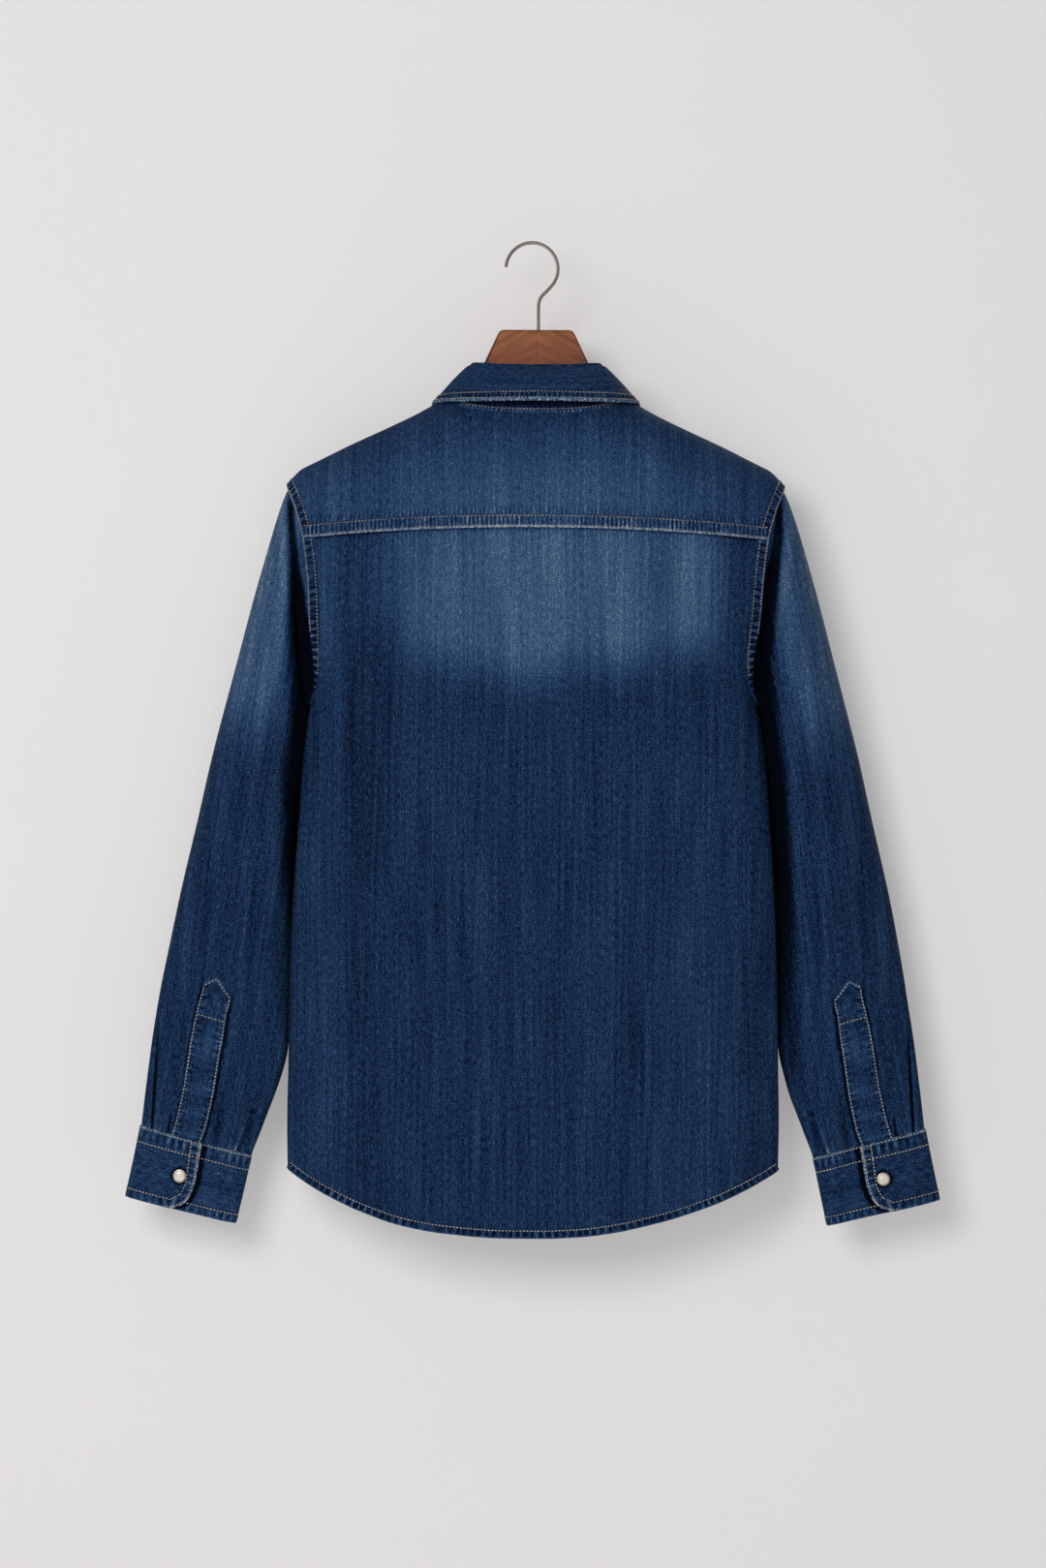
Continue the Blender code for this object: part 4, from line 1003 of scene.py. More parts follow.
# Painted shadow of the leaf on the stand's upper part, behind the neck.
stand_fade = 0.05 - 0.62 * ease((stand_share - 0.10) / 0.10) * behind_neck[None]
stand_marks = marks_of(stand_height.shape, stand_fade, 0.45 * bump(stand_share, 0.03, 0.05),
                       0.55 * bump(stand_share, 0.05, 0.10), stand_gather)
cloth("collar_stand_cloth", stand_grid, stand_norm, 2.0, stand_cut, stand_marks, stand_cut)

# %% Collar leaf
LEAF_THICK = 2.0
leaf_angle, leaf_run = even_neck(-168, 168, 420)
leaf_roll = (4.3 + 2.2 * bump(np.abs(leaf_angle), 84, 45))[:, None]
leaf_out = plan_out(leaf_angle)
leaf_up = np.array([0.0, 0.0, 1.0])
leaf_base = stand_top(leaf_angle)
leaf_edge = join(np.sign(leaf_angle) * collar_curve("leaf_x", leaf_angle),
                 collar_curve("leaf_y", leaf_angle), collar_curve("leaf_z", leaf_angle))
leaf_centre = leaf_base + leaf_out * (leaf_roll - LEAF_THICK) + leaf_up * (6.6 - leaf_roll)
leaf_rows = [leaf_centre - leaf_out * leaf_roll - leaf_up * 2.0]
leaf_way = leaf_edge - leaf_centre
roll_end = np.arctan2(np.sum(leaf_way * leaf_out, axis=-1), -leaf_way[:, 2])
for part in np.linspace(0, 1, 12):
    turn = mix(np.pi, np.clip(roll_end, 0.1, 1.2), part)[:, None]
    leaf_rows.append(leaf_centre + (leaf_out * np.cos(turn) + leaf_up * np.sin(turn)) * leaf_roll)
leaf_start = leaf_rows[-1]
leaf_fall = unit(leaf_edge - leaf_start)
leaf_lift = unit(np.cross(np.cross(leaf_out, leaf_up), leaf_fall))
leaf_lift = np.where(np.sum(leaf_lift * leaf_out, axis=-1, keepdims=True) < 0, -leaf_lift, leaf_lift)
FALL_STEPS = 30
leaf_crown = (3.15 - 2.2 * bump(np.abs(leaf_angle), 88, 28))[:, None]
for part in np.linspace(0.02, 1.0, FALL_STEPS):
    leaf_rows.append(mix(leaf_start, leaf_edge, part) + leaf_lift * leaf_crown * np.sin(np.pi * part))
leaf_grid = np.stack(leaf_rows)
leaf_norm = grid_normals(leaf_grid, np.broadcast_to(leaf_out, leaf_grid.shape))
leaf_norm[0] = leaf_norm[1]
leaf_down = np.stack([run_length(leaf_grid[:, i]) for i in range(leaf_grid.shape[1])], axis=1)
leaf_from_edge = leaf_down[-1][None] - leaf_down
leaf_gather = gather(leaf_run, 0.4)[None] * bump(leaf_from_edge, 5.2, 4.0)
leaf_soft = 0.7 * np.sin(leaf_run / 33 + 1)[None] * bump(leaf_from_edge, 14, 12)
leaf_relief = 0.28 * leaf_gather + leaf_soft - 0.5 * bump(leaf_from_edge, 0, 0.9)
leaf_grid = leaf_grid + leaf_norm * leaf_relief[..., None]
leaf_cut = np.stack([-leaf_down, leaf_run[None] + 0 * leaf_down], axis=-1)
leaf_marks = marks_of(leaf_down.shape, 0.06 - 0.10 * bump(leaf_from_edge, 5.6, 2.4),
                      bump(leaf_from_edge, 0.5, 2.0), 0.95 * bump(leaf_from_edge, 5.8, 2.9), leaf_gather)
cloth("collar_leaf_cloth", leaf_grid, leaf_norm, 1.9, leaf_cut, leaf_marks,
      np.stack([leaf_cut[..., 1], leaf_from_edge], axis=-1))

# %% [markdown]
# ## Sleeves
#
# A sleeve hangs beside the body, turned a little forward. It is a tube whose rings are counted from
# the armhole, 0, to the cuff, 15. Beside the armhole the cloth dips into a deep valley, because the
# shoulder carries the outer part and the inner part falls straight down. The dark shade in the valley
# is painted into the cloth. Above the cuff the width is taken in by a few tucks.

# %% Sleeve form
Ring = namedtuple("Ring", "outer_x outer_z inner_x inner_z depth y")
RINGS = np.array([
    Ring(227.5, -223, 205, -420, 42, 0), Ring(233.5, -242, 210, -424, 45, -3),
    Ring(241.5, -264, 211, -434, 49, -7), Ring(250.5, -295, 212, -449, 52, -12),
    Ring(260, -328, 213, -469, 54, -16), Ring(271, -369, 215, -496, 55, -20),
    Ring(283.5, -416, 217.5, -530, 54, -22), Ring(297.5, -470, 220, -570, 51, -23),
    Ring(311, -530, 222.2, -616, 47, -23), Ring(325, -590, 224, -662, 41, -22),
    Ring(336.9, -648, 226.2, -706, 34, -19), Ring(344.6, -688, 229, -738, 28, -15),
    Ring(350.3, -726, 236, -766, 22, -11), Ring(354.3, -762, 244, -794, 17, -7),
    Ring(357.8, -792, 252.6, -821, 14, -4), Ring(360.2, -812, 259.5, -838.4, 13, -3),
])
LAST_RING = len(RINGS) - 1
SLEEVE_FLATNESS = 2.3
CUFF_FLATNESS = 2.6


def ring_at(row):
    """A ring between two of the marked ones, on a smooth curve through them."""
    row = np.asarray(row, float)
    i = np.clip(row.astype(int), 0, LAST_RING - 1)
    p, a = RINGS[np.maximum(i - 1, 0)], RINGS[i]
    b, q = RINGS[i + 1], RINGS[np.minimum(i + 2, LAST_RING)]
    t = (row - i)[..., None]
    return a + 0.5 * t * (b - p + t * (2 * p - 5 * a + 4 * b - q + t * (3 * (a - b) + q - p)))


def signed_power(value, power):
    return np.abs(value) ** power * np.sign(value)


def ring_point(ring, station, flatness):
    """A point of a ring: 0 at its outer edge, 90 at the back, 180 at its inner edge."""
    outer_x, outer_z, inner_x, inner_z, depth, y = np.moveaxis(ring, -1, 0)
    across = signed_power(np.cos(np.radians(station)), 2 / flatness)
    deep = signed_power(np.sin(np.radians(station)), 2 / flatness)
    x = (outer_x + inner_x) / 2 + (outer_x - inner_x) / 2 * across
    z = (outer_z + inner_z) / 2 + (outer_z - inner_z) / 2 * across
    return join(x, y + depth * deep, z)


def ring_normal(down, along, point, ring):
    """The normal across two directions, turned away from the middle of the ring."""
    normal = unit(np.cross(down, along))
    outer_x, outer_z, inner_x, inner_z, _, y = np.moveaxis(ring, -1, 0)
    middle = join((outer_x + inner_x) / 2, y, (outer_z + inner_z) / 2)
    inwards = np.sum(normal * (point - middle), axis=-1, keepdims=True) < 0
    return np.where(inwards, -normal, normal)


def across_of(station, flatness):
    """Share of the way from the outer edge to the inner one."""
    return (1 - signed_power(np.cos(np.radians(station)), 2 / flatness)) / 2


def station_of(across, flatness):
    turn = np.clip(1 - 2 * across, -1, 1)
    return np.degrees(np.arccos(signed_power(turn, flatness / 2)))


def sleeve_form(row, station):
    point = ring_point(ring_at(row), station, SLEEVE_FLATNESS)
    edge, normal, off = arm_edge(station)
    start = edge - off * 2.5 - normal * 1.5
    first = ring_point(np.broadcast_to(RINGS[0], ring_at(row).shape), station, SLEEVE_FLATNESS)
    keep = np.clip(1 - row / 4.0, 0, 1) ** 2
    return point + (start - first) * keep[..., None]


print("sleeve inner edge at the elbow:", sleeve_form(np.array([7.0]), np.array([180.0])).round(1))

# %% Sleeve creases
Crease = namedtuple("Crease", "row angle depth width height slant")
CREASES = [
    Crease(5.0, 118, -4.0, 40, 0.8, 60), Crease(6.6, 70, -2.5, 34, 0.7, 60),
    Crease(8.2, 112, -3.2, 36, 0.7, 60), Crease(5.6, 250, -4.2, 42, 0.8, 60),
    Crease(7.4, 292, -3.4, 36, 0.7, 60), Crease(9.2, 240, -2.8, 36, 0.7, 60),
    Crease(9.6, 60, -2.2, 26, 0.6, -30), Crease(11.2, 128, -2.4, 20, 1.2, -24),
    Crease(3.6, 66, 1.6, 20, 1.4, 90), Crease(7.6, 96, 1.6, 26, 0.6, 50),
    Crease(10.4, 100, 1.4, 20, 0.8, 40), Crease(12.4, 140, -2.2, 14, 1.2, 30),
    Crease(4.6, 300, -2.4, 26, 1.2, 70), Crease(11.0, 264, -2.2, 22, 0.9, 40),
]
# In a tuck, dark is how much painted shadow fills its slit, and lip is its worn edge.
Tuck = namedtuple("Tuck", "across drift depth width reach dark lip")
TUCKS = [
    Tuck(0.098, 0.017, 3.4, 0.017, 3.6, 2.2, 0.50), Tuck(0.90, 0, 3.4, 0.035, 2.6, 0.45, 0.80),
    Tuck(0.250, 0.004, 2.4, 0.020, 1.1, 1.4, 0.45), Tuck(0.66, 0, 1.6, 0.05, 1.6, 0.35, 0.10),
    Tuck(0.76, 0, 1.4, 0.04, 1.2, 0.35, 0.20),
]
FRONT_TUCKS = [Tuck(0.22, 0, 3.2, 0.04, 2.6, 0, 0), Tuck(0.5, 0, 3.0, 0.04, 2.2, 0, 0),
               Tuck(0.78, 0, 2.8, 0.04, 2.4, 0, 0)]


def off_tuck(across, tuck, row):
    """How far across the sleeve a place lies from a tuck's edge."""
    return across - tuck.across + tuck.drift * (LAST_RING - row)


def pleat(across, tucks, row):
    """A fold that drops sharply at its edge and rises slowly beside it."""
    relief = np.zeros(np.broadcast(across, row).shape)
    for tuck in tucks:
        grown = ease((row - LAST_RING + tuck.reach) / tuck.reach)
        gap = bump(off_tuck(across, tuck, row), 0, tuck.width)
        lip = bump(off_tuck(across, tuck, row), -2.6 * tuck.width, 1.8 * tuck.width)
        relief = relief + grown * tuck.depth * (0.45 * lip - gap)
    return relief


def sleeve_relief(row, station):
    relief = np.zeros(np.broadcast(row, station).shape)
    for crease in CREASES:
        turn = np.mod(station - crease.angle + 180, 360) - 180
        level = (row - crease.row - turn / crease.slant) / crease.height
        relief = relief + crease.depth * np.exp(-(turn / crease.width) ** 2 - level ** 2)
    across = across_of(station, SLEEVE_FLATNESS)
    back = np.mod(station, 360) < 180
    relief = relief + np.where(back, pleat(across, TUCKS, row), pleat(across, FRONT_TUCKS, row))
    deep = ease(across / 0.30) * (1 - ease((across - 0.93) / 0.07))
    valley = 13.0 * bump(row, 0.85 + 0.35 * across, 0.55) * deep
    relief = relief - np.where(back, valley, 0.8 * valley)
    against_body = 4.6 * ease(row / 0.8) * (1 - ease((row - 3.5) / 4)) * ease((across - 0.90) / 0.10)
    against_body = against_body + 3.8 * bump(row, 11.7, 1.5) * ease((across - 0.86) / 0.14)
    puffed = 2.0 * bump(row, 0.9, 0.8) * (1 - ease(across / 0.08))
    relief = relief + against_body + puffed
    ripple = np.sin(station / 2.9 + 1.4 * np.sin(station / 13)) * bump(row, LAST_RING, 0.35)
    tucked_in = 2.4 * ease((row - LAST_RING + 0.12) / 0.12)
    return relief + 0.7 * ripple - tucked_in


def sleeve_surface(row, station):
    """Points and normals of the sleeve's face, creases included."""
    row, station = np.broadcast_arrays(np.asarray(row, float), np.asarray(station, float))
    point = sleeve_form(row, station)
    below, above = np.minimum(row + 0.1, LAST_RING), np.maximum(row - 0.1, 0)
    down = sleeve_form(below, station) - sleeve_form(above, station)
    along = sleeve_form(row, station + 1.5) - sleeve_form(row, station - 1.5)
    normal = ring_normal(down, along, point, ring_at(row))
    return point + normal * sleeve_relief(row, station)[..., None], normal


slit = TUCKS[0]
slit_station = station_of(slit.across, SLEEVE_FLATNESS)
print("relief in a tuck: %.1f mm" % sleeve_relief(np.array(LAST_RING - 0.3), np.array(slit_station)))

# %% Sleeves
STRIP_HALF = Curve([(9.9, 12.4), (10.7, 12.8), (11.6, 13.9), (13.6, 13.9), (14.97, 13.4)])
STRIP = Curve([(10.0, 0.449), (10.28, 0.443), (10.7, 0.433), (11.2, 0.428), (12.0, 0.430), (13.0, 0.436),
               (14.0, 0.433), (14.97, 0.417)])
# wash is how much of the washed field shows, and low_z is where it ends. edge, soft, lit_edge and depth place
# the painted shade in the valley beside the body: where it is full, how far it falls off, where it gives way
# near the armhole, and how strong it is by height.
Valley = namedtuple("Valley", "wash low_z edge soft lit_edge depth")
LEFT_VALLEY = Valley(
    wash=0.90, low_z=-449,
    edge=Curve([(-760, 196), (-700, 200), (-636, 207), (-584, 212), (-479, 212.8), (-426, 212.1),
                (-389, 214), (-343, 217.7), (-309, 219.6), (-275, 221.1), (-252, 224)]),
    soft=Curve([(-531, 24), (-479, 24), (-426, 20), (-389, 15.7), (-343, 12), (-309, 8.3), (-275, 6.5),
                (-252, 5)]),
    lit_edge=Curve([(-360, 199), (-343, 209.8), (-320, 213.4), (-298, 218), (-275, 220), (-252, 223.2)]),
    depth=Curve([(-745, 0), (-700, 0.24), (-650, 0.6), (-560, 2.3), (-400, 2.3)]))
RIGHT_VALLEY = Valley(
    wash=0.76, low_z=-462,
    edge=Curve([(-760, 236), (-689, 231), (-636, 227.2), (-584, 225.2), (-531, 222.4), (-479, 217.5),
                (-426, 211.3), (-389, 210.6), (-366, 211.4), (-343, 212.8), (-332, 214.6), (-320, 216.4),
                (-309, 218.2), (-298, 219.8), (-286, 221), (-263, 222.4), (-252, 223)]),
    soft=Curve([(-689, 19), (-584, 16.6), (-531, 15), (-479, 17.5), (-426, 22), (-389, 17.5), (-355, 12.7),
                (-332, 8.7), (-309, 6), (-286, 5), (-263, 5.3), (-252, 4)]),
    lit_edge=Curve([(-330, 200), (-309, 208.4), (-298, 213.2), (-286, 217), (-263, 219.4), (-252, 221.6)]),
    depth=Curve([(-790, 0), (-742, 0.60), (-715, 0.65), (-689, 0.78), (-650, 1.1), (-570, 2.3),
                 (-400, 2.3)]))


def sleeve_fade(row, station, point, valley):
    """The washed outer part with a painted highlight on its ridge, painted shade in the valley beside the
    body, and painted shadow in the tucks' slits and beside the placket strip.
    """
    across = across_of(station, SLEEVE_FLATNESS)
    x, z = point[..., 0], point[..., 2]
    back = np.mod(station, 360) < 190
    lower = valley.low_z + 0.20 * (x - 240) + 6 * np.sin(station / 7.0)
    field = ease((z - lower + 46) / 92) * (1 - 0.40 * ease((across - 0.3) / 0.4))
    # A painted highlight along the ridge of the sleeve head.
    painted_ridge_highlight = 0.42 * bump(x, 231, 4.5) * ease((-226 - z) / 20) * (1 - ease((-300 - z) / 50))
    field = field + 0.20 * bump(row, LAST_RING - 0.35, 0.5)
    streaks = 0.10 * np.sin(x / 4.1 + z / 31 + 1.3 * np.sin(z / 61))
    streaks = streaks + 0.07 * np.sin(x / 2.1 - z / 47 + 2 * np.sin(z / 33))
    # Painted shade in the valley beside the body, weaker on the front of the sleeve.
    shaded = 1 - ease((x - valley.edge(z)) / valley.soft(z))
    lit = ease((valley.lit_edge(z) - x) / 4.5)
    shaded = shaded * (1 - 0.9 * lit) * ease((-230 - z) / 14) * valley.depth(z)
    # Painted shadow in the slits of the tucks, and beside the edges of the placket strip.
    painted_slit_and_strip_shadow = np.zeros(across.shape)
    for tuck in TUCKS:
        grown = ease((row - LAST_RING + tuck.reach) / (0.5 * tuck.reach))
        painted_slit_and_strip_shadow = painted_slit_and_strip_shadow + grown * bump(off_tuck(across, tuck, row), 0, 0.55 * tuck.width) * tuck.dark
    ring = ring_at(row)
    beside = (across - STRIP(row)) * (ring[..., 0] - ring[..., 2])
    half = STRIP_HALF(row)
    # Painted shadow beside the strip's two edges, deeper on the side towards the body.
    strip_shade = 1.6 * bump(beside, half + 0.5, 1.6) + 0.7 * bump(beside, -half - 0.5, 1.5)
    painted_slit_and_strip_shadow = painted_slit_and_strip_shadow + strip_shade * ease((row - 10.2) / 0.2)
    shade = np.where(back, shaded + painted_slit_and_strip_shadow, 0.35 * shaded)
    return valley.wash * (field + painted_ridge_highlight) + streaks - shade


def tuck_lips(row, station):
    """The worn lip beside each tuck's slit."""
    across = across_of(station, SLEEVE_FLATNESS)
    lips = np.zeros(across.shape)
    for tuck in TUCKS:
        grown = ease((row - LAST_RING + tuck.reach) / tuck.reach)
        lip = bump(off_tuck(across, tuck, row), -1.15 * tuck.width, 0.32 * tuck.width)
        lips = lips + grown * lip * tuck.lip
    return np.where(np.mod(station, 360) < 190, lips, 0.0)


sleeve_rows = np.concatenate([np.linspace(0, 2.8, 36), np.linspace(2.9, 11, 46),
                              np.linspace(11.1, LAST_RING, 46)])
BACK_COLUMNS = 145
even_across = station_of(np.linspace(0, 1, BACK_COLUMNS), SLEEVE_FLATNESS)
back_turns = mix(np.linspace(0, 180, BACK_COLUMNS), even_across, 0.72)
sleeve_turns = np.concatenate([np.linspace(-180, 0, 62)[:-1], back_turns])
SLEEVE_AXIS = Curve([(-900, 326), (-825, 310), (-746, 293), (-677, 281.5), (-573, 266.6), (-432, 243),
                     (-321, 222), (-223, 205)])
row_grid, station_grid = np.meshgrid(sleeve_rows, sleeve_turns, indexing="ij")
sleeve_grid, sleeve_norm = sleeve_surface(row_grid, np.mod(station_grid, 360))
around = np.stack([run_length(line) for line in sleeve_grid])
off_axis = sleeve_grid[..., 0] - SLEEVE_AXIS(sleeve_grid[..., 2])
sleeve_cut = np.stack([np.where(station_grid < 0, 300 - off_axis, off_axis), sleeve_grid[..., 2]], axis=-1)
edge_worn = 0.25 * bump(row_grid, LAST_RING - 0.15, 0.18) + tuck_lips(row_grid, np.mod(station_grid, 360))
sleeve_marks = tuple(
    marks_of(around.shape, sleeve_fade(row_grid, np.mod(station_grid, 360), sleeve_grid, valley),
             edge_worn, 0.7 * bump(row_grid, LAST_RING - 0.1, 0.3), 0.6 * gather(around, 1.1))
    for valley in (LEFT_VALLEY, RIGHT_VALLEY))
cloth("sleeve_cloth", sleeve_grid, sleeve_norm, SHEET, sleeve_cut, sleeve_marks,
      np.stack([around, 10 * row_grid], axis=-1), loop=True, sides=(1, -1))

# %% [markdown]
# ## Sleeve plackets
#
# The opening of the sleeve is closed by a strip with a pointed top, stitched all round, with a line
# of stitching across it below the point.

# %% Sleeve placket strips
def strip_surface(row, side):
    """Points on the sleeve under the strip; side runs from -1 to 1 across it."""
    ring = ring_at(row)
    width = ring[..., 0] - ring[..., 2]
    from_tip = np.abs(side + 0.12 * (1 - side * side))
    point_rows = row + 0.30 * from_tip * (1 - ease((row - 10.0) / 1.0))
    across = STRIP(row) + side * STRIP_HALF(row) / width
    station = station_of(across, SLEEVE_FLATNESS)
    return sleeve_surface(point_rows, station)


strip_row = np.concatenate([np.linspace(9.98, 10.6, 22), np.linspace(10.63, 14.97, 120)])[:, None]
strip_side = np.linspace(-1, 1, 31)[None, :]
strip_rows, strip_sides = np.broadcast_arrays(strip_row, strip_side)
strip_point, strip_norm = strip_surface(strip_rows, strip_sides)
strip_run = run_length(strip_point[:, 15])[:, None] + 0 * strip_sides
strip_rim = bump(np.abs(strip_sides), 1, 0.10) + bump(strip_rows, 9.98, 0.05)
strip_gather = gather(strip_run, 2.2) * bump(np.abs(strip_sides), 0.80, 0.22)
strip_wave = np.sin(strip_run / 4.6 + 2.2 * np.sin(strip_run / 21) + strip_sides)
strip_soft = 0.7 * strip_wave * (1 - strip_sides ** 2)
strip_lift = 2.0 + 0.22 * strip_gather + 0.35 * strip_soft - 0.35 * bump(np.abs(strip_sides), 1, 0.05)
strip_head = 1 - ease((strip_rows - 10.7) / 0.4)
strip_mottle = np.sin(strip_run / 2.6 + 1.4 * np.sin(strip_sides * 3 + strip_run / 9))
strip_mottle = strip_mottle * np.sin(strip_sides * 4.2 + 1.2)
strip_marks = marks_of(strip_run.shape, 0.06 + 0.22 * strip_soft - (0.12 - 0.35 * strip_mottle) * strip_head,
                       0.40 * np.clip(strip_rim, 0, 1), 0.55 * bump(np.abs(strip_sides), 0.74, 0.26) + 0.10,
                       strip_gather + 0.5 * strip_soft)
strip_cut = np.stack([strip_sides * STRIP_HALF(strip_rows), -strip_run], axis=-1)
cloth("sleeve_placket_cloth", strip_point + strip_norm * strip_lift[..., None], strip_norm, 1.9,
      strip_cut, strip_marks, np.stack([0.6 * strip_run, strip_cut[..., 0]], axis=-1), sides=(1, -1))

# %% [markdown]
# ## Cuffs
#
# A barrel cuff is a doubled strip that laps over itself, with one rounded corner. Its edges are
# stitched, and the stitching gathers the cloth into small bright and dark patches.

# %% Cuffs
CUFF_TOP = np.array(Ring(361.0, -812.2, 259.1, -839.0, 13.6, -3), float)
CUFF_BOTTOM = np.array(Ring(374.4, -876, 273.0, -900.4, 13.6, -3), float)
CUFF_HEIGHT = 65.0
UNDER_START = 0.26
OVER_END = 0.565
CUFF_CORNER = 0.18
CORNER_RISE = 0.56
LAP_SLANT = 2.6            # degrees that the outer end leans inwards, down to the cuff's lower edge
LEAN_START = 425           # the station, past a full turn, from which it leans
SNAP_ACROSS = 0.424
SNAP_SHARE = 0.516


def cuff_point(share, station):
    return ring_point(mix(CUFF_TOP, CUFF_BOTTOM, np.asarray(share)[..., None]), station, CUFF_FLATNESS)


def cuff_normal(share, station):
    along = cuff_point(share, station + 1.0) - cuff_point(share, station - 1.0)
    down = cuff_point(share + 0.5, station) - cuff_point(share - 0.5, station)
    ring = mix(CUFF_TOP, CUFF_BOTTOM, np.asarray(share)[..., None])
    return ring_normal(down, along, cuff_point(share, station), ring)


cuff_start = float(station_of(UNDER_START, CUFF_FLATNESS))
cuff_end = 360 + float(station_of(OVER_END, CUFF_FLATNESS))
cuff_corner = 360 + float(station_of(OVER_END - CUFF_CORNER, CUFF_FLATNESS))


def cuff_low(station):
    """How far down the cuff reaches; it is cut round at the corner of its outer end."""
    turn = np.clip((station - cuff_corner) / (cuff_end - cuff_corner), 0, 1)
    return 1 - CORNER_RISE * (1 - np.sqrt(1 - turn * turn))


def lap_edge(share):
    """Where the outer end's edge lies across the cuff, at one share of its height."""
    rise = np.clip((1 - share) / CORNER_RISE, 0, 1)
    turn = np.sqrt(np.clip(1 - (1 - rise) ** 2, 0, 1))
    return across_of(leaned(share, cuff_corner + turn * (cuff_end - cuff_corner)), CUFF_FLATNESS)


def leaned(share, station):
    """Stations near the outer end, moved inwards with the way down."""
    return station + LAP_SLANT * share * ease((station - LEAN_START) / (cuff_end - LEAN_START))


def cuff_surface(share, station):
    """Face of the cuff; its first end runs under its last one."""
    under = 1 - ease((station - float(station_of(OVER_END + 0.04, CUFF_FLATNESS))) / 40)
    station = leaned(share, station)
    normal = cuff_normal(share, station)
    return cuff_point(share, station) - normal * (2.5 * under - 0.5)[..., None], normal


cuff_fine = np.linspace(cuff_start, cuff_end, 2000)
cuff_run_fine = run_length(cuff_surface(np.full(2000, 0.5), cuff_fine)[0])
cuff_run = np.linspace(0, cuff_run_fine[-1], 300)
cuff_turns = np.interp(cuff_run, cuff_run_fine, cuff_fine)
cuff_turns = np.append(cuff_turns[:-1], np.linspace(cuff_turns[-2], cuff_end, 7)[1:])
cuff_run = np.append(cuff_run[:-1], np.linspace(cuff_run[-2], cuff_run[-1], 7)[1:])
cuff_share = np.linspace(-0.025, 1, 42)[:, None] * cuff_low(cuff_turns)[None]
cuff_station = np.broadcast_to(cuff_turns[None], cuff_share.shape)
cuff_grid, cuff_norm = cuff_surface(cuff_share, cuff_station)
cuff_length = cuff_run[-1]
from_top = (cuff_share + 0.025) * CUFF_HEIGHT
from_low = (cuff_low(cuff_turns)[None] - cuff_share) * CUFF_HEIGHT
from_low = from_low * np.where(cuff_station > cuff_corner, 0.82, 1.0)
from_end = (cuff_length - cuff_run)[None] + 0 * cuff_share
side_edge = bump(from_end, 4.8, 3.4) * ease((cuff_station - 200) / 20)
cuff_band = np.clip(bump(from_top, 6.8, 5.2) + bump(from_low, 4.4, 3.6) + side_edge, 0, 1)
round_edge = bump(from_low, 0.3, 1.9) * (cuff_station > cuff_corner)
cuff_rim = bump(from_top, 0.4, 1.9) + 0.6 * bump(from_low, 0, 1.1) + bump(from_end, 0.3, 2.1) + round_edge
cuff_rim = np.clip(cuff_rim, 0, 1)
cuff_runs = cuff_run[None] + 0 * cuff_share
cuff_gather = np.where(from_end < 9, gather(from_top * 0.62, 0.9), gather(cuff_runs * 0.52, 2.7)) * cuff_band
cuff_soft = np.sin(cuff_runs / 13 + 1.5) * 0.5 * np.sin(np.pi * np.clip(cuff_share, 0, 1))
cuff_lift = 0.36 * cuff_gather + cuff_soft * 0.6 - 0.4 * cuff_rim
# Painted shadow beside the lapped outer end of the cuff.
past_lap = across_of(cuff_station, CUFF_FLATNESS) - lap_edge(cuff_share)
lap_shade = np.where(cuff_station < 200, 2.2 * (1 - ease((np.abs(past_lap) - 0.020) / 0.040)), 0.0)
snap_station = 360 + station_of(np.array([SNAP_ACROSS]), CUFF_FLATNESS)
snap_point, snap_normal = cuff_surface(np.array([SNAP_SHARE]), snap_station)
# A painted shadow ring round the snap.
off_snap = np.linalg.norm(cuff_grid - snap_point[0], axis=-1)
snap_shade = np.where(cuff_station > 300, 1.6 * bump(off_snap, 6.5, 1.5), 0.0)
cuff_mottle = 0.16 * np.sin(cuff_runs / 2.9 + 2 * np.sin(from_top / 7))
cuff_mottle = cuff_mottle * np.sin(from_top / 4.1 + 1.5 * np.sin(cuff_runs / 9))
cuff_mottle_and_shadow = cuff_mottle - lap_shade - snap_shade
cuff_marks = tuple(
    marks_of(cuff_share.shape, wash + 0.18 * cuff_band + cuff_mottle_and_shadow, cuff_rim * (lap_shade < 0.2),
             0.85 * cuff_band, cuff_gather) for wash in (0.10, -0.04))
cuff_cut = np.stack([-from_top, cuff_runs], axis=-1)
cloth("cuff_cloth", cuff_grid + cuff_norm * cuff_lift[..., None], cuff_norm, 1.9, cuff_cut, cuff_marks,
      np.stack([0.55 * np.where(from_end < 9, from_top, cuff_runs), from_low], axis=-1), sides=(1, -1))

# %% [markdown]
# ## Felled seams and hem
#
# A felled seam folds one edge over the other and stitches it down twice. It shows as a raised band
# with a crisp, pale edge and puckers between the two rows. Bands are narrow strips with a much finer
# grid than the panels that they lie on.

# %% Band maker
def band(name, point, normal, run, depth, high, low, sides=(1,), fade=0.0, seed=0.0, rim_width=1.7,
         edge_worn=1.0, period=PUCKER, dark=0.22):
    """A raised strip. Its columns follow run; its rows follow depth, from its crisp edge to its soft one."""
    run, depth = np.broadcast_arrays(run[None], depth)
    width = depth[-1, 0]
    rim = bump(depth, 0.3, rim_width)
    soft = ease((depth / width - 0.80) / 0.20)
    between = ease((depth - 0.5 * rim_width) / 1.6) * (1 - ease((depth - width + 2.0) / 1.4))
    gather_run = run * PUCKER / period
    heights = gather(gather_run, seed) * between * (0.7 + 0.3 * np.sin(run / 4.3 + 1.1 * depth + seed))
    lift = mix(high, low, soft) - 0.45 * bump(depth, 0, 0.5) + 0.26 * heights
    marks = marks_of(run.shape, fade - dark * between, edge_worn * rim, 0.95 * between, heights)
    cloth(name, point + normal * lift[..., None], normal, lift + 0.5, np.stack([run, depth], axis=-1),
          marks, np.stack([gather_run, depth], axis=-1), sides=sides)


